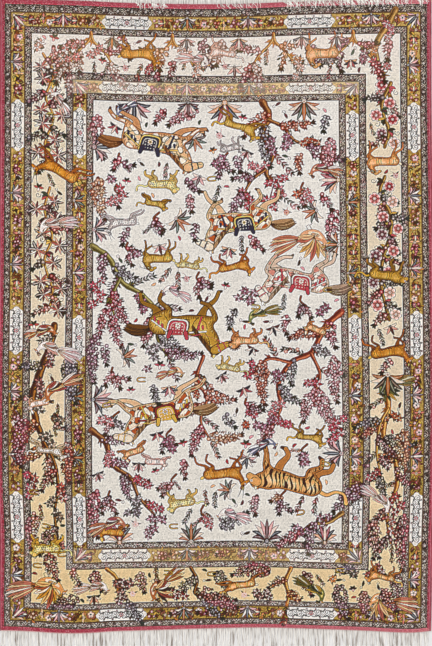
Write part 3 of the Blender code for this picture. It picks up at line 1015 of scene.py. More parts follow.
LILY_BUD = ((70, 30, 56), (40, 14, 30), (232, 196, 196))  # the bud, its outline and its lining


def lily(x, y, size, turn):
    """A star of narrow petals with two dark buds that show a pale lining."""
    for i in range(9):
        side = i / 8 - 0.5
        colour = ((180, 92, 112), (242, 222, 210), (124, 56, 88), (226, 158, 156))[i % 4]
        reach = size * (0.54 - 0.18 * abs(side) + 0.06 * (i % 2))
        leaf(x, y, reach, size * 0.088, turn + 180 + side * 290, side * 70, colour, (72, 26, 48))
    for lean in (-22, 16):
        leaf(x, y, size * 0.58, size * 0.15, turn + lean, lean * 1.5, *LILY_BUD)
    blossom(x, y, size * 0.20, 5, turn, (240, 220, 212), PINK, (84, 22, 46), ROSE)


def rosette(x, y, size, turn):
    """A large open flower, ringed with pale dots about a dark heart."""
    dyes = pick((PINKS, ROSES, PLUMS, PALES))
    petals = pick((6, 7))
    blossom(x, y, size, petals, turn, dyes.petal, dyes.glow, dyes.line, dyes.line, 0.14)
    for i in range(petals):
        px, py = away(x, y, turn + i * 360 / petals, size * 0.30)
        draw([(x, y, 0.0004), (px, py, 0.0005)], dyes.line)
        dot(px, py, size * 0.035, WHITE)
    dark = mix(dyes.petal, dyes.line, 0.35)
    blossom(x, y, size * 0.42, petals, turn + 180 / petals, dark, dyes.glow, dyes.line, NAVY)
    dot(x, y, size * 0.045, WHITE)


def vine(points, wood, bear, size, every):
    """A stem with a large flower on either side in turn, and leaves and tendrils between them."""
    rows = trunk(points, wood, 2)
    for x, y, turn, side in stops(rows, every * 0.4 * MM, every * MM):
        way = turn + side * vary(62, 88)
        fx, fy = away(x, y, way, size * 0.58 * MM)
        knee = ((x + fx) / 2 + 0.002, (y + fy) / 2 + 0.002, 0.0009)
        draw([(x, y, 0.0013), knee, (fx, fy, 0.0008)], wood.bark, wood.dark, 0.0006)
        for lean, long in ((50, 0.017), (78, 0.013), (115, 0.016)):
            colour = pick((SLATE, PLUM, ROSE, (60, 50, 44), wood.light))
            leaf(x, y, long, long * 0.34, turn - side * lean, side * 40, colour, INK)
        if chance.random() < 0.75:
            length = vary(0.030, 0.046)
            lean = turn - side * vary(35, 80)
            raceme(x, y, length, length * 0.42, lean, pick((ROSES, PLUMS, PINKS, BLUES)))
        tip = away(x, y, turn - side * 80, 0.016)
        curl(Spot(*tip, 0.014, turn - side * 60, side), (70, 44, 40), 1.15, 0.07)
        bear(fx, fy, size * vary(0.9, 1.08) * MM, way + vary(-25, 25))


def hoof_mark(x, y, turn):
    """The weavers' horseshoe, dark outside and tan within."""
    bend = [(11, 4.6, 1), (2, 5, 1), (-5, 3.8, 1), (-7.5, 0, 1), (-5, -3.8, 1), (2, -5, 1), (11, -4.6, 1)]
    rows = at(Spot(x, y, MM, turn), smooth(bend, 4))
    rows[:, 2] = 0.0018
    draw(rows, (78, 40, 22), (48, 26, 18), 0.0004)
    rows[:, 2] = 0.0007
    draw(rows, (206, 146, 76))


def sprig(x, y, size, turn, colour, glow):
    """A flat little flower seen from the side, with two leaves below."""
    for way in (-1, 1):
        leaf(x, y, size * 0.62, size * 0.22, turn + 90 * way, 12 * way, colour, mix(colour, INK, 0.6))
        leaf(x, y, size * 0.55, size * 0.20, turn + 180 + 28 * way, 10 * way, (52, 60, 60), INK)
    leaf(x, y, size * 0.5, size * 0.26, turn, 0, glow, mix(colour, INK, 0.5))
    dot(x, y, size * 0.09, INK)


# What the tables below hold, in millimetres and degrees.
Cluster = namedtuple("Cluster", "x y length breadth turn dyes")
Animal = namedtuple("Animal", "x y size turn flip shape pose coat cloth", defaults=(None,))
Bird = namedtuple("Bird", "x y size turn flip plumage tail plumes raised", defaults=(0.7, 4, False))


def plant(*clusters):
    for k, row in enumerate(clusters):
        c = Cluster(*row)
        grow, share = (bunch, 0.62) if k % 4 == 3 else (raceme, 1.0)
        grow(c.x * MM, c.y * MM, c.length * MM * share, c.breadth * MM, c.turn, c.dyes)


def stock(animals, birds):
    for row in animals:
        a = Animal(*row)
        spot = Spot(a.x * MM, a.y * MM, a.size * MM, a.turn, a.flip)
        beast(spot, a.shape, a.pose, a.coat, a.cloth)
    for row in birds:
        b = Bird(*row)
        spot = Spot(b.x * MM, b.y * MM, b.size * MM, b.turn, b.flip)
        bird(spot, b.plumage, b.tail, b.plumes, 0.6, b.raised)


# ---- The main border --------------------------------------------------------------------------------
# A vine of lilies climbs the left side, a vine of rosettes the right, and both run out into trees hung
# with blossom. It all stands with its feet towards the far end, and much of it spills over the guards.

worked[:] = 0

# Left side
BRIGHT = (ROSES, PINKS, PALES, PEACHES)
DUSKY = (BLUES, PLUMS, ROSES)
ALL = (ROSES, PLUMS, BLUES, PINKS, REDS)
vine(
    (
        (-415, 622, 2.4), (-390, 575, 2.2), (-408, 520, 2.2), (-390, 470, 2.2), (-410, 410, 2.2),
        (-398, 372, 1.8),
    ),
    GOLD_WOOD, lily, 38, 28,
)
vine(
    ((-398, 305, 2.4), (-410, 250, 2.2), (-392, 190, 2.2), (-410, 130, 2.2), (-390, 60, 2.2), (-400, 15, 2)),
    GOLD_WOOD, lily, 38, 28,
)
tree(
    (
        (-385, -20, 7), (-392, -60, 7.5), (-412, -120, 8), (-434, -185, 7), (-428, -240, 7), (-408, -300, 5),
        (-400, -335, 3),
    ),
    BROWN, ALL, 62,
)
tree(
    ((-408, -300, 4), (-384, -345, 3.4), (-376, -400, 3), (-386, -470, 2.4), (-380, -520, 2)),
    BROWN, DUSKY, 62, 2,
)
plant(
    (-386, 640, 72, 40, -62, PINKS), (-344, -92, 110, 44, -84, BLUES), (-456, -246, 110, 36, -92, ROSES),
    (-442, -372, 96, 34, -80, ROSES), (-430, -470, 80, 32, -98, PINKS), (-350, -300, 88, 36, -88, REDS),
)
stock(
    (
        (-372, 345, 84, 152, 1, GAZELLE, LEAP, RUSSET), (-398, -318, 58, -4, -1, HOUND, LEAP, GREY_COAT),
        (-420, -206, 46, 196, 1, HARE, CANTER, BLUSHED), (-406, -548, 60, 186, 1, CAT, CANTER, SPOTTED),
    ),
    (
        (-398, 222, 62, 184, 1, DOVE, 0.9, 5), (-408, -30, 56, 20, -1, PHEASANT),
        (-396, -70, 62, 160, 1, DOVE, 1.1, 6), (-386, -168, 66, 205, 1, PHEASANT, 0.9),
        (-404, -630, 84, 16, -1, FIREBIRD, 1.0, 7, True),
    ),
)

# Right side
tree(
    ((432, 726, 7), (412, 690, 8), (384, 640, 5.5), (398, 580, 5), (420, 520, 4)),
    TAN_WOOD, (PEACHES, PINKS, PALES), 52, 2, 52,
)
vine(((420, 560, 4), (398, 500, 3.6), (414, 440, 3.4), (404, 400, 3)), TAN_WOOD, rosette, 32, 27)
vine(
    (
        (404, 330, 3), (392, 290, 3.4), (416, 240, 4), (414, 190, 4), (396, 130, 3.6), (392, 70, 3.4),
        (410, -10, 3),
    ),
    TAN_WOOD, rosette, 32, 27,
)
tree(
    (
        (396, -160, 6), (404, -220, 7), (392, -280, 6), (420, -340, 6), (426, -400, 5), (404, -470, 4),
        (414, -530, 3),
    ),
    GOLD_WOOD, ALL, 62,
)
tree(((404, -220, 3.4), (384, -260, 3), (376, -320, 2.6), (386, -380, 2)), GOLD_WOOD, DUSKY, 54, 2)
plant(
    (442, -272, 92, 42, -84, PEACHES), (350, -408, 92, 40, -140, PLUMS), (448, -470, 120, 38, -90, ROSES),
    (388, -580, 66, 36, -110, ROSES), (432, -600, 76, 36, -80, PLUMS), (372, -480, 80, 34, -80, PINKS),
)
stock(
    (
        (400, 366, 74, 184, 1, GAZELLE, LOOK_BACK, FAWN), (402, 96, 70, -8, -1, CAT, STALK, TAWNY),
        (404, -86, 78, 8, -1, DEER, CANTER, RUSSET), (396, -610, 60, 172, 1, HOUND, CANTER, FAWN),
    ),
    (
        (404, -160, 60, 190, 1, PARROT, 0.9, 5, True), (394, -438, 56, -30, -1, DOVE, 0.9, 5),
        (398, -664, 76, 168, 1, FIREBIRD, 1.0, 7, True),
    ),
)
fan(0.404, -0.140, 0.052, -90, FAN_DYES[2], 9, 190)

# Far end: low trees that part in two, and the space between them for beasts
for x, dyes in ((-300, BRIGHT), (-104, BRIGHT), (139, BRIGHT), (330, DUSKY)):
    for lean in (-1, 1):
        tree(
            ((x, 676, 2.6), (x + lean * 6, 655, 2.2), (x + lean * 34, 628, 2), (x + lean * 50, 604, 1.6)),
            GOLD_WOOD, dyes, 50, 2, 24,
        )
plant(
    (-30, 664, 62, 30, -70, PLUMS), (22, 660, 54, 28, -110, PALES), (224, 650, 52, 28, -60, PLUMS),
    (-366, 640, 70, 34, -40, PINKS), (-226, 668, 50, 30, -70, ROSES), (-346, 570, 40, 26, -90, PALES),
)
stock(
    (
        (-190, 630, 76, 0, -1, GAZELLE, CANTER, RUSSET),
        (20, 634, 58, 172, 1, HOUND, CANTER, BLUSHED),
        (256, 628, 74, 184, 1, DEER, LOOK_BACK, FAWN),
    ),
    ((-376, 520, 42, 120, 1, DOVE, 0.9), (-36, 622, 46, 0, -1, DOVE, 1.1, 5)),
)
for x, number in ((-70, 0), (-250, 2), (56, 1), (206, 3), (290, 0)):
    fan(x * MM, 0.667, 0.028, -90, FAN_DYES[number], 7, 150)

# Near end
tree(((-262, -596, 4), (-240, -616, 3.6), (-226, -650, 3), (-210, -676, 2)), GOLD_WOOD, DUSKY, 56, 1)
tree(((-60, -596, 3.4), (-44, -628, 3), (-50, -660, 2.4), (-20, -668, 2)), BROWN, (ROSES, BLUES), 64, 3)
tree(((178, -596, 4), (166, -630, 4), (174, -664, 4), (170, -690, 3)), GOLD_WOOD, ALL, 60, 2)
plant(
    (-292, -600, 48, 32, -70, ROSES), (-30, -650, 92, 40, -30, ROSES), (130, -604, 88, 42, 188, ROSES),
    (330, -604, 64, 36, -178, BLUES), (292, -636, 84, 38, -72, PLUMS), (352, -650, 58, 34, -80, PINKS),
    (-330, -668, 60, 38, -160, PLUMS), (92, -666, 66, 34, -12, PLUMS), (214, -606, 56, 32, -75, ROSES),
    (-400, -560, 62, 34, -70, ROSES), (400, -640, 60, 34, -60, ROSES), (-110, -664, 64, 32, 10, ROSES),
    (-180, -606, 46, 28, -80, PINKS), (4, -604, 50, 30, -60, BLUES),
)
stock(
    ((62, -640, 62, 190, 1, GAZELLE, SPRING, FAWN),),
    (
        (-140, -640, 66, 215, 1, PHEASANT, 0.9, 5, True), (242, -650, 58, -30, -1, PARROT, 0.9, 5),
        (-282, -634, 52, 8, -1, DOVE, 1.0, 6),
    ),
)
for x, y, turn in (
    (-430, -590, 0), (-372, -560, 10), (-404, -498, 170), (-12, -612, 0), (-112, -608, 175), (290, -598, 0),
    (-436, -418, 0),
):
    hoof_mark(x * MM, y * MM, turn)


# ---- The field --------------------------------------------------------------------------------------
# A garden on ivory: old trees hung with blossom, saddled horses and a tiger among them, small beasts and
# birds between, and palmettes standing along the edges. What ground is left is sown with little flowers.

tree(
    ((112, 516, 8), (128, 478, 7), (112, 436, 6), (138, 392, 5.4), (120, 344, 5), (142, 306, 3)),
    BROWN, ALL, 76, 4,
)
tree(((126, 470, 4), (160, 452, 3.6), (186, 420, 3), (222, 404, 2)), BROWN, (PEACHES, REDS, PLUMS), 76, 1)
tree(((118, 350, 3.4), (86, 326, 3), (66, 292, 2)), BROWN, DUSKY, 66, 1)
tree(
    (
        (-296, 168, 7), (-256, 140, 6), (-226, 84, 5.6), (-176, 52, 5), (-138, 4, 4.4), (-140, -48, 3.4),
        (-118, -92, 2.4),
    ),
    GREEN_WOOD, DUSKY, 74, 4,
)
tree(((-230, 92, 3.4), (-250, 44, 3), (-244, 6, 2)), GREEN_WOOD, (ROSES, PINKS), 84, 1)
tree(
    (
        (296, 8, 7.5), (254, -32, 6.4), (226, -88, 6), (176, -114, 5), (146, -168, 4.4), (152, -220, 3.4),
        (132, -266, 2.4),
    ),
    RED_WOOD, ALL, 74, 5,
)
tree(((224, -92, 3.6), (244, -142, 3), (232, -184, 2)), RED_WOOD, (ROSES, PINKS), 84, 1)
tree(((176, -114, 3.4), (128, -104, 3), (96, -122, 2)), RED_WOOD, (ROSES, REDS), 76, 1)
tree(
    (
        (-296, -268, 7), (-262, -300, 6), (-246, -352, 5), (-204, -384, 4.4), (-184, -430, 3.4),
        (-150, -470, 2.2),
    ),
    BROWN, (BLUES, ROSES, PINKS, PLUMS), 74, 4,
)
tree(
    ((-30, -96, 3.6), (-46, -150, 3.4), (-22, -196, 3), (-36, -250, 2.6), (-14, -296, 2)),
    RED_WOOD, (PEACHES, REDS, ROSES), 62, 3, 30,
)
tree(((296, -470, 5), (262, -492, 4), (228, -496, 3), (196, -516, 2)), TAN_WOOD, (ROSES, PLUMS), 60, 2)
plant(
    (278, 420, 110, 36, -92, PINKS), (-284, 480, 100, 34, -82, PINKS), (-282, 330, 96, 36, -80, PEACHES),
    (-284, 92, 108, 34, -88, ROSES), (-284, -46, 106, 32, -92, PLUMS), (284, 250, 100, 32, -90, ROSES),
    (282, -100, 104, 34, -88, PINKS), (284, -240, 110, 32, -94, ROSES), (-286, -410, 108, 32, -88, ROSES),
    (10, -500, 66, 32, 24, BLUES), (-40, 500, 80, 36, -150, PINKS), (90, 62, 70, 34, -130, PLUMS),
)
PALMETTES = (
    (-196, 515, 54, -90), (22, 515, 56, -90), (212, 515, 50, -90), (-66, 515, 34, -90), (-292, 404, 44, 0),
    (292, 322, 44, 180), (292, 168, 40, 180), (-292, -196, 46, 0), (-292, 208, 40, 0), (-232, -534, 44, 90),
    (-60, -534, 40, 90), (120, -534, 46, 90), (292, -330, 42, 180), (256, -534, 36, 90),
)
for k, (x, y, size, turn) in enumerate(PALMETTES):
    fan(x * MM, y * MM, size * MM, turn, FAN_DYES[k % len(FAN_DYES)], 9, 165)
for x, y, size, turn in (
    (-52, 430, 34, -70), (-96, 236, 38, -40), (240, 250, 34, 200), (34, -420, 30, 160), (74, -340, 28, 250),
    (-222, -96, 34, 20),
):
    fan(x * MM, y * MM, size * MM, turn, FAN_DYES[int(size) % 4], 8, 230)

stock(
    (
        (-150, 420, 138, -10, -1, HORSE, LEAP, ROAN, NAVY_CLOTH),
        (60, 226, 132, 186, 1, HORSE, CANTER, PIED, NAVY_CLOTH),
        (196, 84, 130, 172, 1, HORSE, PRANCE, CREAMY, ROSE_CLOTH),
        (-84, -20, 140, -5, -1, HORSE, CANTER, TAWNY, ROSE_CLOTH),
        (-128, -226, 136, 192, 1, HORSE, LEAP, PIED, GOLD_CLOTH),
        (176, -400, 134, 170, 1, CAT, STALK, TIGER), (56, 456, 74, -20, -1, HOUND, LEAP, TAWNY),
        (-222, 226, 60, 186, 1, GAZELLE, LEAP, GREY_COAT), (-130, 318, 62, -4, -1, CAT, CANTER, SPOTTED),
        (-140, 140, 68, 184, 1, DEER, LOOK_BACK, TAWNY), (40, 118, 70, 8, -1, HOUND, CANTER, RUSSET),
        (236, -34, 44, 160, 1, HARE, CANTER, FAWN), (14, -378, 84, 2, -1, GAZELLE, CANTER, RUSSET),
        (-196, -322, 46, 200, 1, HARE, LEAP, FAWN), (216, -292, 58, -8, -1, HOUND, CANTER, TAWNY),
        (-80, -446, 56, 190, 1, CAT, CANTER, SPOTTED), (-250, -510, 52, 176, 1, HARE, LEAP, RUSSET),
        (70, -60, 56, 182, 1, LION, CANTER, FAWN),
    ),
    (
        (224, 190, 84, 16, -1, FIREBIRD, 1.0, 7, True), (-104, 66, 46, 150, 1, DOVE, 0.9, 5),
        (96, 6, 54, 190, 1, PARROT, 0.9, 5), (250, 352, 54, 170, 1, PHEASANT, 0.8),
        (-246, -486, 60, 20, -1, PHEASANT, 0.9, 5), (116, -306, 48, 30, -1, JAY, 0.8),
        (30, -470, 50, 160, 1, DOVE, 0.9, 5), (-100, -128, 44, 20, -1, FIREBIRD, 0.8, 5),
        (-226, 500, 42, 200, 1, JAY, 0.7),
    ),
)
for x, y, turn in (
    (-180, -150, 0), (-262, -210, 10), (200, -470, 190), (258, -356, 170), (-104, -500, 0), (96, 20, 175),
    (-12, 330, 5), (262, 60, 0),
):
    hoof_mark(x * MM, y * MM, turn)


# Whatever ground is still bare is sown with beasts, branches, twigs, sprigs and single leaves, the larger
# ones first.
def sow(box, tries, room, grow, around):
    """Grows something at chance places that are bare for a given room around."""
    for _ in range(tries):
        x, y = vary(box.left + room, box.right - room), vary(box.near + room, box.far - room)
        if around is not None and box_distance(x, y, around) < room:
            continue
        if worked[patch(x - room, y - room, x + room, y + room)[0]].mean() < 0.03:
            grow(x, y, room)


SMALL_BEASTS = (
    (HARE, (BLUSHED, FAWN, GREY_COAT)),
    (HOUND, (RUSSET, TAWNY, FAWN)),
    (CAT, (SPOTTED, TAWNY)),
    (GAZELLE, (FAWN, RUSSET)),
)


def grow_beast(x, y, room):
    """A small beast that runs one way or the other."""
    shape, coats = pick(SMALL_BEASTS)
    left = chance.random() < 0.5
    spot = Spot(x, y, room * 1.3, (180 if left else 0) + vary(-12, 12), 1 if left else -1)
    beast(spot, shape, pick((LEAP, CANTER, STALK)), pick(coats))


def grow_branch(x, y, room):
    """A bent brown twig with two or three hanging clusters."""
    turn = vary(-130, -50)
    dyes = pick((ROSES, PLUMS, BLUES, PINKS, ROSES, REDS, PEACHES) if y < 0.5 else BRIGHT)
    knees = [away(x, y, turn, room * k) for k in (-0.95, -0.4, 0.1)]
    rows = [(px + 0.004 * (-1) ** k, py, 0.0022 - 0.0005 * k) for k, (px, py) in enumerate(knees)]
    draw(smooth(rows, 5), BARK, (58, 30, 20), 0.0009)
    leans = (pick((-55, 55)), vary(-30, 30), pick((-60, 60)))
    for (px, py), lean in zip(knees[1:] + knees[2:], leans):
        grow = pick((raceme, raceme, bunch, spray))
        grow(px, py, room * vary(0.95, 1.25), room * 0.62, turn + lean, dyes)
        dyes = pick((dyes, dyes, PLUMS, PINKS))


def grow_cluster(x, y, room):
    turn = vary(-135, -45)
    grow, share = pick(((raceme, 2.0), (raceme, 2.3), (bunch, 1.5), (spray, 2.3)))
    back = room * share / 2
    grow(*away(x, y, turn, -back), 2 * back, room, turn, pick(ALL if y < 0.5 else BRIGHT))


def grow_twig(x, y, room):
    """One small thing on its own: a sprig, a palmette, a rose or a star."""
    kind, turn, dyes = chance.random(), vary(-125, -55), pick(ALL + (REDS, PEACHES))
    if kind < 0.30:
        size, shades, leaves = vary(0.020, 0.026), pick(FAN_DYES), pick((5, 7))
        fan(x, y + room * 0.5, size, turn, shades, leaves, 190, 0.21)
    elif kind < 0.52:
        rose(x, y, vary(0.0125, 0.0165), turn, pick((PINKS, ROSES, PALES, REDS)))
    elif kind < 0.78:
        bunch(x, y + room * 0.5, 0.011, 0.0, turn, dyes)
    else:
        length = vary(0.030, 0.040)
        spray(*away(x, y, turn, -length / 2), length, 1, turn, dyes)


def grow_tendril(x, y, room):
    """A dark curl with a leaf at its back, and now and then a sprig instead."""
    if chance.random() < 0.5:
        glow, colour = pick(((PINK, MADDER), (PEACH, RUST), (BLUSH, ROSE), (PINK, PLUM)))
        sprig(x, y, vary(0.014, 0.021), vary(-110, -70), colour, glow)
        return
    turn, flip = vary(0, 360), pick((-1, 1))
    leaf(x, y, 0.013, 0.0044, turn + 200, 30 * flip, pick((SLATE, PLUM, (70, 52, 40))), INK)
    curl(Spot(x, y, room * 1.1, turn, flip), pick(((70, 46, 40), (96, 60, 70))), 1.2, 0.075)


def grow_leaf(x, y, room):
    turn = vary(0, 360)
    colour = pick((ROSE, MADDER, SLATE, PLUM, PEACH, PINK))
    leaf(*away(x, y, turn, -0.005), 0.011, 0.0044, turn, 60, colour, mix(colour, INK, 0.75))


MAIN, MAIN_INSIDE = EDGES[4][1], EDGES[5][1]
for ground, inside, more, tighter in ((FIELD, None, 1, 1), (MAIN, MAIN_INSIDE, 3, 0.88)):
    for tries, room, grow in (
        (250, 0.034, grow_beast),
        (1200, 0.025, grow_branch),
        (1200, 0.0182, grow_cluster),
        (1400, 0.0132, grow_twig),
        (360, 0.0095, grow_tendril),
        (260, 0.0070, grow_leaf),
    ):
        sow(ground, tries * more, room * tighter, grow, inside)


# Age has deepened and browned the dark dyes and warmed the pale ones: what it adds to each, by brightness.
AGEING = (
    (70, 105, 145, 175, 205, 221),  # brightness
    (0, 0, 0, 5, 7, -1),  # red
    (-9, 0, -1, -2, -4, 0),  # green
    (-34, -18, -9, -8, -9, -2),  # blue
)
DEEPENING = (0.0, 0.12, 0.0, 0.24, 0.0, 0.12, 0.0, 0.07)  # by frame, from the outer guard to the field
NO_BOX = Box(9, 9, -9, -9)  # nothing lies inside it
# Painted sheen: the far end of the main border, and both ends of the inner gold band, are painted paler.
far_main_sheen = within(MAIN, MAIN_INSIDE) * np.clip((all_y - 0.56) / 0.08, 0, 1)
tint((238, 224, 214), 0.25 * far_main_sheen)
inner_gold = within(EDGES[6][1], EDGES[7][1])
tint((250, 240, 220), inner_gold * (0.42 * (all_y > 0.531) + 0.28 * (all_y < -0.545)))
brightness = chart.mean(-1)
# Dark squares are deepened frame by frame; the extra towards the near end is painted shade, where the nap
# shows least sheen.
deep = np.clip((190 - brightness) / 120, 0, 1) * (1.8 - 1.6 * nap_sheen)
for (_, outer), (_, inner), share in zip(EDGES[1:], EDGES[2:] + [(None, NO_BOX)], DEEPENING):
    chart *= (1 - share * (deep * within(outer, inner)))[..., None]
age = np.stack([np.interp(brightness, AGEING[0], added) for added in AGEING[1:]], -1)
age[beyond] = (0, -2, -7)
for (_, outer), (_, inner) in guards:
    age[within(outer, inner)] = (6, 2, -4)
chart += age
# Mid tones of the main border are painted warmer towards the near end and the left side: painted shade,
# where the nap shows least sheen.
warm = within(MAIN, MAIN_INSIDE) * np.clip(1.2 - np.abs(brightness - 150) / 60, 0, 1)
warm *= (1.2 - 0.7 * nap_sheen) * (1 - 0.6 * all_x)
chart += warm[..., None] * (12, 0, -22)

# The silk is never quite even: knots catch the light singly, and each dyed batch ends in a streak.
streaks = noise.random((ROWS, 1)) * 0.03 + noise.random((ROWS // 24 + 1, 1)).repeat(24, 0)[:ROWS] * 0.03
chart *= (1.045 - 0.10 * blotches(nap_sheen.shape, 3) ** 2 - 0.05 * blotches(nap_sheen.shape, 2) - streaks)[..., None]
flecks = np.clip(1.6 * blotches(nap_sheen.shape, 2) - 0.9, 0, 1) * (box_distance(all_x, all_y, EDGES[1][1]) > 0)
tint((226, 160, 168), 0.6 * flecks)


# ==== Foundation =====================================================================================
# The woven ground of silk warps and wefts that every knot is tied on. On the back each knot shows as two
# small bumps, so the design shows there too, paler and without nap. It is the cloth that the rug is.

RUG_THICKNESS = 0.0050
FOUNDATION_THICKNESS = 0.0019
CORD_RADIUS = 0.0022
KNOT_WIDTH, KNOT_LENGTH = 0.0011, 0.0012
BUMP_HEIGHT = 0.0002

# The edge that the eye follows: its sides belly out a little and its ends are drawn in at the middle.
# Y, and how far the left and the right edge lie from the middle there
SIDES = (
    (-0.760, 0.5165, 0.5120), (-0.680, 0.5172, 0.5138), (-0.530, 0.5158, 0.5162), (-0.390, 0.5208, 0.5200),
    (-0.150, 0.5212, 0.5212), (0.080, 0.5180, 0.5190), (0.300, 0.5166, 0.5160), (0.500, 0.5155, 0.5135),
    (0.760, 0.5150, 0.5130),
)
LEFT, RIGHT = 1, 2
# X, and how far the far and the near end lie from the middle there
ENDS = (
    (-0.525, 0.7545, 0.7488), (-0.450, 0.7535, 0.7508), (-0.366, 0.7515, 0.7556), (-0.300, 0.7495, 0.7548),
    (-0.250, 0.7468, 0.7512), (-0.190, 0.7447, 0.7492), (-0.110, 0.7428, 0.7466), (-0.020, 0.7420, 0.7438),
    (0.090, 0.7440, 0.7416), (0.180, 0.7476, 0.7430), (0.348, 0.7522, 0.7486), (0.462, 0.7540, 0.7536),
    (0.525, 0.7545, 0.7480),
)
FAR, NEAR = 1, 2


def read(table, column, at):
    """One column of a table, at any places along it, on a smooth curve through its rows."""
    keys, values = np.array(table)[:, 0], np.array(table)[:, column]
    at = np.clip(at, keys[0], keys[-1])
    i = np.clip(np.searchsorted(keys, at, "right") - 1, 0, len(keys) - 2)
    before, after = np.maximum(i - 1, 0), np.minimum(i + 2, len(keys) - 1)
    span = keys[i + 1] - keys[i]
    t = (at - keys[i]) / span
    slope_a = (values[i + 1] - values[before]) / (keys[i + 1] - keys[before]) * span
    slope_b = (values[after] - values[i]) / (keys[after] - keys[i]) * span
    return (
        values[i] * (1 + 2 * t) * (1 - t) ** 2
        + slope_a * t * (1 - t) ** 2
        + values[i + 1] * t * t * (3 - 2 * t)
        + slope_b * t * t * (t - 1)
    )


# The tables are centred on the pile, and the CAD on the whole rug with its fringes.
body_low, body_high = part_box("rug_body")
fine_y, fine_x = np.linspace(-0.745, 0.745, 300), np.linspace(-0.512, 0.512, 300)
most_left, most_right = (read(SIDES, column, fine_y).max() for column in (LEFT, RIGHT))
most_far, most_near = (read(ENDS, column, fine_x).max() for column in (FAR, NEAR))
SHIFT_X = (body_low.x + body_high.x) / 2 - (most_right - most_left) / 2
SHIFT_Y = (body_low.y + body_high.y) / 2 - (most_far - most_near) / 2


def lay(x, y):
    """Where places on the chart lie on the real rug, whose inner frames were woven a little askew."""
    near = np.interp(y, (-0.750, -0.735, -0.70, -0.62, -0.56, -0.50, -0.44), (0, 0.3, 0.32, 0.75, 1, 0.3, 0))
    far = np.interp(y, (0.44, 0.50, 0.56, 0.62, 0.68), (0, 0.4, 1, 0.5, 0))
    right = np.interp(x, (0, 0.20, 0.33, 0.42, 0.47, 0.51), (0, 0.4, 1, 0.6, 0.25, 0))
    right *= np.interp(y, (-0.75, -0.60, -0.30, -0.10, 0.10), (0.3, 1, 1, 0.5, 0))
    left = np.interp(x, (-0.51, -0.47, -0.33, 0), (0, 0.5, 1, 0))
    s = (x + 0.0057 * right + 0.0021 * left) / CHART_WIDTH + 0.5
    pulled = y - near * np.minimum(0.0090 + 0.0155 * x, 0.0125) - far * (0.0040 + 0.0107 * x)
    t = pulled / CHART_LENGTH + 0.5
    u, v = x, y
    for _ in range(4):
        left, right = -read(SIDES, LEFT, v), read(SIDES, RIGHT, v)
        near, far = -read(ENDS, NEAR, u), read(ENDS, FAR, u)
        u, v = left + (right - left) * s, near + (far - near) * t
    return u + SHIFT_X, v + SHIFT_Y


def linear(colours):
    """sRGB from 0 to 255, made linear."""
    c = np.clip(np.asarray(colours, float) / 255, 0, 1)
    return np.where(c <= 0.04045, c / 12.92, ((c + 0.055) / 1.055) ** 2.4)


def blurred(picture, radius):
    """The chart averaged over a square of 2 * radius + 1 squares a side."""
    n = 2 * radius + 1
    padded = np.pad(picture, ((radius + 1, radius), (radius + 1, radius), (0, 0)), mode="edge")
    total = padded.astype(np.float64).cumsum(0).cumsum(1)
    return (total[n:, n:] - total[:-n, n:] - total[n:, :-n] + total[:-n, :-n]) / n**2


def dyes_at(picture, x, y):
    """The colour of the chart at any places, from the four squares around each."""
    column = np.clip((x + CHART_WIDTH / 2) / SQUARE - 0.5, 0, COLUMNS - 1.001)
    row = np.clip((y + CHART_LENGTH / 2) / SQUARE - 0.5, 0, ROWS - 1.001)
    c, r = column.astype(int), row.astype(int)
    fc, fr = (column - c)[:, None], (row - r)[:, None]
    return (
        picture[r, c] * (1 - fc) * (1 - fr)
        + picture[r, c + 1] * fc * (1 - fr)
        + picture[r + 1, c] * (1 - fc) * fr
        + picture[r + 1, c + 1] * fc * fr
    )


def put(name, data):
    """An object with the data, in the scene."""
    thing = bpy.data.objects.new(name, data)
    bpy.context.scene.collection.objects.link(thing)
    return thing


CORNER_LEAN = 0.6  # how much further a corner leans to its own square's dye
MAP_RIM, MAP_RIM_BELOW = 0.022, 0.012  # where the top and the foot of the walls lie on the map


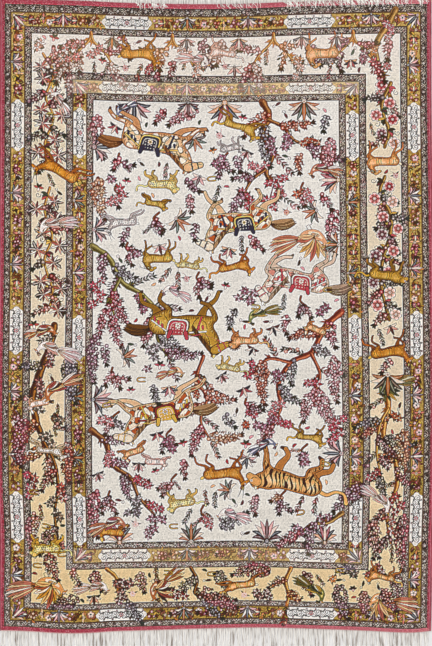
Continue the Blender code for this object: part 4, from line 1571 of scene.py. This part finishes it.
def cloth_slab(name, box, cell, face, back, picture, relief=None):
    """A closed piece of the rug over a box of the chart: fine cells on its face, one plain polygon behind.

    Face and back are heights. The face carries the chart's colours in an attribute named dye, and its map
    fills all but a thin margin, where the walls and the back lie.
    """
    count_x, count_y = round((box.right - box.left) / cell), round((box.far - box.near) / cell)
    bm = bmesh.new()
    bmesh.ops.create_grid(bm, x_segments=count_x, y_segments=count_y, size=0.5)
    walls = bmesh.ops.extrude_edge_only(bm, edges=[e for e in bm.edges if e.is_boundary])["geom"]
    bmesh.ops.translate(bm, verts=[v for v in walls if isinstance(v, bmesh.types.BMVert)], vec=(0, 0, -1))
    bmesh.ops.holes_fill(bm, edges=[e for e in bm.edges if e.is_boundary])
    if face < back:
        bmesh.ops.reverse_faces(bm, faces=bm.faces)
    mesh = bpy.data.meshes.new(name)
    bm.to_mesh(mesh)
    bm.free()

    place = np.empty(len(mesh.vertices) * 3)
    mesh.vertices.foreach_get("co", place)
    s, t, depth = place.reshape(-1, 3).T + np.array([[0.5], [0.5], [0]])
    x, y = box.left + (box.right - box.left) * s, box.near + (box.far - box.near) * t
    height = np.where(depth < -0.5, back, face)
    if relief is not None:
        height = height + relief(x, y) * (depth > -0.5)
    mesh.vertices.foreach_set("co", np.column_stack([*lay(x, y), height]).ravel())

    # A cell of the face holds four squares of the chart, so each corner of a cell has its own dye.
    corner = np.empty(len(mesh.loops), int)
    mesh.loops.foreach_get("vertex_index", corner)
    starts, totals = np.empty(len(mesh.polygons), int), np.empty(len(mesh.polygons), int)
    mesh.polygons.foreach_get("loop_start", starts)
    mesh.polygons.foreach_get("loop_total", totals)

    def averaged(values):
        """The mean over each face, given to every corner of it."""
        return np.repeat(np.add.reduceat(values, starts) / totals[:, None], totals, axis=0)

    ends = np.column_stack([x, y])[corner]
    own = dyes_at(picture, *((ends + averaged(ends)) / 2 if face > back else ends).T)
    if face > back:  # the underside is left soft
        own += CORNER_LEAN * (own - averaged(own))
    colours = np.ones((len(corner), 4))
    colours[:, :3] = linear(own)
    mesh.attributes.new("dye", "FLOAT_COLOR", "CORNER").data.foreach_set("color", colours.ravel())
    rim = np.where(depth < -0.5, MAP_RIM_BELOW, MAP_RIM)

    def on_map(share):
        """The face inside the rim, and the walls between the rim of the face and the rim below."""
        inner = MAP_RIM + (1 - 2 * MAP_RIM) * share
        return np.where(share < 1e-6, rim, np.where(share > 1 - 1e-6, 1 - rim, inner))

    uv = np.column_stack([on_map(s), on_map(t)])[corner]
    back_face = max(mesh.polygons, key=lambda polygon: polygon.loop_total)
    loops = slice(back_face.loop_start, back_face.loop_start + back_face.loop_total)
    # the plain side fills a thin strip at the foot of the map
    uv[loops] = np.column_stack([0.02 + 0.96 * s, 0.001 + 0.008 * t])[corner[loops]]
    mesh.uv_layers.new(name="OFBake").uv.foreach_set("vector", uv.ravel())
    return put(name, mesh)


def node(tree, kind, inputs=(), **settings):
    """Adds a shader node, sets it up, and plugs in or sets the inputs given."""
    made = tree.nodes.new("ShaderNode" + kind)
    for key, value in settings.items():
        setattr(made, key, value)
    for key, value in dict(inputs).items():
        if isinstance(value, bpy.types.NodeSocket):
            tree.links.new(value, made.inputs[key])
        else:
            made.inputs[key].default_value = value
    return made


def new_material(name, **constants):
    """A material with its shader's constant values set, and its tree and shader."""
    material = bpy.data.materials.new(name)
    material.use_nodes = True
    tree = material.node_tree
    shader = tree.nodes["Principled BSDF"]
    for key, value in constants.items():
        shader.inputs[key.replace("_", " ")].default_value = value
    return material, tree, shader


def stretched(tree, x, y, z=1.0):
    """Object coordinates, multiplied along each axis."""
    here = node(tree, "TexCoord").outputs["Object"]
    return node(tree, "VectorMath", {0: here, 1: (x, y, z)}, operation="MULTIPLY").outputs["Vector"]


def ramp(tree, value, low, high, to_low, to_high):
    return node(tree, "MapRange", {0: value, 1: low, 2: high, 3: to_low, 4: to_high}).outputs[0]


def uneven(tree, x, y, z=1.0, **inputs):
    """Noise over Object coordinates that are multiplied along each axis."""
    return node(tree, "TexNoise", {"Vector": stretched(tree, x, y, z), "Scale": 1.0, **inputs}).outputs[0]


def maths(tree, operation, *values):
    return node(tree, "Math", dict(enumerate(values)), operation=operation).outputs[0]


def shaded(tree, colour, shade):
    return node(tree, "VectorMath", {0: colour, "Scale": shade}, operation="SCALE").outputs[0]


def plug(tree, shader, colour, roughness, height, strength):
    """Gives the shader its colour and roughness, and a bump of BUMP_HEIGHT at a given strength."""
    tree.links.new(colour, shader.inputs["Base Color"])
    tree.links.new(roughness, shader.inputs["Roughness"])
    bump = node(tree, "Bump", {"Height": height, "Distance": BUMP_HEIGHT, "Strength": strength})
    tree.links.new(bump.outputs[0], shader.inputs["Normal"])


def knot_height(tree):
    """Rows and columns of knots: a rounded bump for each."""
    ways = (stretched(tree, 1 / KNOT_WIDTH, 0), stretched(tree, 0, 1 / KNOT_LENGTH))
    places = [node(tree, "SeparateXYZ", {0: way}).outputs[axis] for axis, way in enumerate(ways)]
    waves = [maths(tree, "SINE", maths(tree, "MULTIPLY", place, 2 * pi)) for place in places]
    return maths(tree, "ADD", *waves)


back_dyes = blurred(chart, 2) * 0.86 + np.array([214, 200, 180]) * 0.14


def back_material():
    """Flat knots on an ivory foundation: no sheen to speak of, ribs running across with the wefts."""
    material, tree, shader = new_material(
        "knotted_back", Metallic=0.0, Sheen_Weight=0.08, Specular_IOR_Level=0.25
    )
    colour = node(tree, "Attribute", attribute_name="dye").outputs["Color"]
    grain = uneven(tree, 240, 900, Detail=2.0)
    colour = shaded(tree, colour, ramp(tree, grain, 0.3, 0.7, 0.84, 1.12))
    plug(tree, shader, colour, ramp(tree, grain, 0.3, 0.7, 0.82, 0.62), knot_height(tree), 0.6)
    return material


PILE_BOX = Box(-0.513, -0.750, 0.513, 0.750)  # clear of the edge cords
foundation = cloth_slab("foundation", PILE_BOX, 0.0075, 0.0, FOUNDATION_THICKNESS, back_dyes)
foundation.data.materials.append(back_material())
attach(foundation, "root")


# ==== Pile ===========================================================================================
# Silk knots, about a millimetre each, clipped level. The maker knots it in one go. It is built here as six
# panels that meet along lines of the design: the borders at the two sides and two ends, and the two halves
# of the field.

PILE_CELL = 0.0020


def clipped(x, y):
    """How far the clipped pile lies below its full height: a slight unevenness, and thin at the two ends."""
    rolling = np.sin(x * 21 + 1.3 * np.sin(y * 9)) * np.sin(y * 17 + 2 + np.sin(x * 13))
    ends = np.clip(1 - (CHART_LENGTH / 2 - np.abs(y)) / 0.006, 0, 1)
    return -0.00018 * (1 + rolling) - 0.0009 * ends**2


def silk_pile():
    """Clipped silk: it shines along the nap, and each row of knots takes the dye a little differently."""
    material, tree, shader = new_material(
        "silk_pile", Metallic=0.0, Sheen_Weight=0.06, Sheen_Roughness=0.4, Specular_IOR_Level=0.22
    )
    colour = node(tree, "Attribute", attribute_name="dye").outputs["Color"]
    rows = uneven(tree, 7, 420, Detail=3.0, Roughness=0.6)
    bands = uneven(tree, 1.2, 34, Detail=2.0)
    whole = node(tree, "VectorMath", {0: stretched(tree, 900, 850, 0)}, operation="FLOOR").outputs[0]
    knots = node(tree, "TexWhiteNoise", {"Vector": whole}, noise_dimensions="2D").outputs[0]
    shades = (ramp(tree, rows, 0.3, 0.7, 0.95, 1.05), ramp(tree, bands, 0.3, 0.7, 0.97, 1.03))
    shade = maths(tree, "MULTIPLY", maths(tree, "MULTIPLY", *shades), ramp(tree, knots, 0, 1, 0.93, 1.07))
    height = maths(tree, "ADD", knot_height(tree), ramp(tree, knots, 0, 1, 0, 1.5))
    plug(tree, shader, shaded(tree, colour, shade), ramp(tree, rows, 0.3, 0.7, 0.66, 0.46), height, 0.5)
    return material


# A shape's edge is half a square softer once it is knotted, so the drawing is first made a little crisper.
crisp = np.clip(chart + 0.5 * (chart - blurred(chart, 1)) + 0.4 * (chart - blurred(chart, 3)), 0, 255)

pile = silk_pile()
SEAMS = Box(-0.295, -0.536, 0.295, 0.516)  # along the edge of the field, on whole cells
PANELS = {
    "pile_border_left": Box(PILE_BOX.left, PILE_BOX.near, SEAMS.left, PILE_BOX.far),
    "pile_border_right": Box(SEAMS.right, PILE_BOX.near, PILE_BOX.right, PILE_BOX.far),
    "pile_border_far": Box(SEAMS.left, SEAMS.far, SEAMS.right, PILE_BOX.far),
    "pile_border_near": Box(SEAMS.left, PILE_BOX.near, SEAMS.right, SEAMS.near),
    "pile_field_far": Box(SEAMS.left, 0.0, SEAMS.right, SEAMS.far),
    "pile_field_near": Box(SEAMS.left, SEAMS.near, SEAMS.right, 0.0),
}
panels = []
for name, box in PANELS.items():
    cell = PILE_CELL
    piece = cloth_slab(name, box, cell, RUG_THICKNESS, FOUNDATION_THICKNESS, crisp, clipped)
    piece.data.materials.append(pile)
    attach(piece, "root")
    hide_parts("rug_body")
    panels.append(piece)


# ==== Edge cords =====================================================================================
# The outermost warps of each side, bundled and wrapped round and round in red silk so that the edge does
# not fray. The wrapping shows as fine slanting threads, with a few pulled tighter than the rest.

THREAD_PITCH = 0.0024


def new_curve(name, radius, fineness):
    """An empty round curve with closed ends."""
    curve = bpy.data.curves.new(name, "CURVE")
    curve.dimensions = "3D"
    curve.bevel_depth = radius
    curve.bevel_resolution = fineness
    curve.use_fill_caps = True
    return curve


def as_mesh(curve):
    """The curve's own surface as an object, without materials."""
    drawn = put(curve.name, curve)
    mesh = bpy.data.meshes.new_from_object(drawn.evaluated_get(bpy.context.evaluated_depsgraph_get()))
    bpy.data.objects.remove(drawn)
    mesh.name = curve.name
    mesh.materials.clear()
    return put(curve.name, mesh)


def edge_cord(name, edge, replaced):
    """One side's cord. Edge is 1 on the right and -1 on the left."""
    column = RIGHT if edge > 0 else LEFT
    low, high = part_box(replaced)
    count = round((high.y - low.y) / THREAD_PITCH) * 2
    curve = new_curve(name, CORD_RADIUS * 0.98, 3)
    line = curve.splines.new("POLY")
    line.points.add(count)
    for i, point in enumerate(line.points):
        y = low.y + (high.y - low.y) * i / count
        x = edge * float(read(SIDES, column, np.array([y - SHIFT_Y]))[0]) - edge * CORD_RADIUS + SHIFT_X
        point.co = (x, y, RUG_THICKNESS / 2 + 0.0001 * sin(y * 31), 1)
        point.radius = (1.0 if i % 2 else 0.9) * (0.985 + 0.015 * sin(y * 240 + 3 * sin(y * 37)))
    piece = as_mesh(curve)
    for polygon in piece.data.polygons:
        polygon.use_smooth = True
    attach(piece, "root")
    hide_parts(replaced)
    return piece


def overcast_silk():
    """Red silk wound round a cord: the threads slant, and catch the light one by one."""
    material, tree, shader = new_material(
        "overcast_silk", Metallic=0.0, Sheen_Weight=0.3, Sheen_Roughness=0.35, Specular_IOR_Level=0.4
    )
    here = node(tree, "SeparateXYZ", {0: node(tree, "TexCoord").outputs["Object"]})
    slant = maths(tree, "ADD", here.outputs[1], here.outputs[2])
    threads = maths(tree, "SINE", maths(tree, "MULTIPLY", slant, 2 * pi / (THREAD_PITCH / 2)))
    wear = uneven(tree, 60, 60, 60, Detail=4.0)
    colours = node(tree, "ValToRGB", {0: wear})
    deep, faded = colours.color_ramp.elements
    deep.position, deep.color = 0.32, (*linear((150, 44, 62)), 1)
    faded.position, faded.color = 0.72, (*linear((196, 98, 112)), 1)
    # The crests of the wound threads are painted lighter and the grooves between them painted in shade.
    colour = shaded(tree, colours.outputs[0], ramp(tree, threads, -1, 1, 0.78, 1.1))
    plug(tree, shader, colour, ramp(tree, wear, 0.3, 0.7, 0.42, 0.68), threads, 0.7)
    return material


cords = [edge_cord("overcast_left", -1, "edge_cord_left"), edge_cord("overcast_right", 1, "edge_cord_right")]
red_silk = overcast_silk()
for cord in cords:
    cord.data.materials.append(red_silk)


# ==== Fringes ========================================================================================
# The warps themselves, which leave the cloth at both ends in a narrow woven heading and hang loose in
# locks of a few threads. They are ivory silk, painted greyer between the strands as shade, and crossed
# where the rug has been walked on.

FRINGE_LENGTH = 0.062
FRINGE_HEADING = 0.006
STRANDS = 760
STRAYS = 240
STRAND_RADIUS = 0.00052
STRAND_STEPS = 7

# How far back a stray thread has come, and how high it lies there, in thicknesses of the rug.
STRAY_HEIGHTS = ((-0.3, 0.3), (0, 1.14), (0.35, 1.22), (0.7, 1.20), (1.0, 1.18))


def end_line(x, far):
    """The Y of the pile's end at any X, both in the rug's own frame."""
    column, side = (FAR, 1) if far else (NEAR, -1)
    return side * read(ENDS, column, np.atleast_1d(x) - SHIFT_X) + SHIFT_Y


def fringe(name, replaced, far):
    """The warp ends of one end, strand by strand, in locks that drift together."""
    out = 1 if far else -1
    low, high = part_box(replaced)
    left, right = low.x + 0.001, high.x - 0.001
    luck = random.Random(5 if far else 8)
    curve = new_curve(name, STRAND_RADIUS, 0)
    lock, lock_drift = 0, 0.0
    for i in range(STRANDS):
        if i >= lock:
            lock = i + luck.randint(3, 7)
            lock_drift = luck.uniform(-0.009, 0.009)
        x = left + (right - left) * (i + 0.5) / STRANDS
        middle = left + (right - left) * (lock - 2.5) / STRANDS
        length = FRINGE_LENGTH * luck.uniform(0.80, 0.98)
        start = end_line(x, far)[0] + out * 0.0006
        drift = lock_drift + luck.uniform(-0.0025, 0.0025)
        phase, swing = luck.uniform(0, 6.3), luck.uniform(0.0008, 0.0034)
        level = luck.uniform(0.0006, 0.0016)
        line = curve.splines.new("POLY")
        line.points.add(STRAND_STEPS)
        for k, point in enumerate(line.points):
            t = k / STRAND_STEPS
            gather = 0.55 * (middle - x) * min(1, 2.5 * t)
            px = x + gather + drift * t * t + swing * sin(phase + 7 * t) * t
            py = start + out * (length + FRINGE_HEADING) * t
            point.co = (min(max(px, low.x), high.x), py, max(STRAND_RADIUS, level * (1 - 0.3 * t)), 1)
            point.radius = 1.0 - 0.35 * t
    for i in range(STRAYS if far else 0):  # loose threads lie back over the pile's end
        right_half = (luck.uniform(0.16, 0.50) for _ in range(5))
        x = luck.choice((luck.uniform(-0.19, -0.12), luck.uniform(0.0, 0.11), *right_half))
        start = end_line(x, far)[0]
        back, lean = luck.uniform(0.006, 0.017), luck.uniform(-0.004, 0.014)
        line = curve.splines.new("POLY")
        line.points.add(4)
        for point, (t, height) in zip(line.points, STRAY_HEIGHTS):
            bend = 0.002 * sin(i + 5 * t)
            point.co = (x + lean * t + bend, start - back * t, RUG_THICKNESS * height, 1)
            point.radius = 1.5 - 0.5 * t
    piece = as_mesh(curve)
    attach(piece, "root")
    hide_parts(replaced)
    return piece


def warp_silk():
    """Undyed ivory silk, painted lighter where it catches the light and in shade between the strands."""
    material, tree, shader = new_material(
        "warp_silk", Metallic=0.0, Sheen_Weight=0.2, Sheen_Roughness=0.4, Specular_IOR_Level=0.3
    )
    strands = uneven(tree, 330, 16, Detail=3.0)
    colours = node(tree, "ValToRGB", {0: strands})
    strand_shade, strand_highlight = colours.color_ramp.elements
    strand_shade.position, strand_shade.color = 0.36, (*linear((150, 134, 122)), 1)
    strand_highlight.position, strand_highlight.color = 0.50, (*linear((255, 252, 247)), 1)
    roughness = ramp(tree, strands, 0.3, 0.7, 0.72, 0.5)
    plug(tree, shader, colours.outputs[0], roughness, uneven(tree, 900, 900, 900), 0.5)
    return material


fringes = [fringe("warp_ends_far", "fringe_far", True), fringe("warp_ends_near", "fringe_near", False)]
ivory_silk = warp_silk()
for piece in fringes:
    piece.data.materials.append(ivory_silk)


# ==== Floor, lights and camera =======================================================================
# The rug lies on a pale floor under even, soft light, and is looked at from straight above.

bm = bmesh.new()
bmesh.ops.create_grid(bm, x_segments=1, y_segments=1, size=4.0)
bmesh.ops.translate(bm, verts=bm.verts, vec=(0, 0, -0.0004))
floor_mesh = bpy.data.meshes.new("floor")
bm.to_mesh(floor_mesh)
bm.free()
floor = put("floor", floor_mesh)
plaster, tree, shader = new_material("pale_floor", Metallic=0.0, Roughness=0.8)
tone = node(tree, "ValToRGB", {0: uneven(tree, 3, 3, Detail=3.0)})
tone.color_ramp.elements[0].color = (0.74, 0.73, 0.72, 1)
tone.color_ramp.elements[1].color = (0.80, 0.79, 0.78, 1)
tree.links.new(tone.outputs[0], shader.inputs["Base Color"])
floor_mesh.materials.append(plaster)

Lamp = namedtuple("Lamp", "name place size power")
for lamp in (
    Lamp("soft_left", (-2.4, 0.8, 2.6), 2.4, 53),
    Lamp("soft_right", (2.4, 0.9, 2.6), 2.4, 50),
    Lamp("soft_near", (0.2, -3.0, 2.4), 2.4, 34),
):
    light = bpy.data.lights.new(lamp.name, "AREA")
    light.shape, light.size, light.energy = "SQUARE", lamp.size, lamp.power
    holder = put(lamp.name, light)
    holder.location = lamp.place
    holder.rotation_euler = (-holder.location).to_track_quat("-Z", "Y").to_euler()

world = bpy.data.worlds.new("studio")
world.use_nodes = True
world.node_tree.nodes["Background"].inputs["Color"].default_value = (1.0, 0.99, 0.98, 1)
world.node_tree.nodes["Background"].inputs["Strength"].default_value = 0.47
bpy.context.scene.world = world

# The photograph takes in 1.537 m of the rug's length and is centred 17 mm nearer than the pile is.
VIEW_LENGTH = 1.537
VIEW_MIDDLE_Y = -0.0167
lens = bpy.data.cameras.new("camera")
lens.sensor_fit = "VERTICAL"
lens.sensor_height = 36
lens.lens = 100
camera = put("camera", lens)
height = RUG_THICKNESS + VIEW_LENGTH * lens.lens / lens.sensor_height
camera.location = (SHIFT_X, VIEW_MIDDLE_Y + SHIFT_Y, height)
bpy.context.scene.camera = camera
bpy.context.scene.view_settings.view_transform = "Standard"
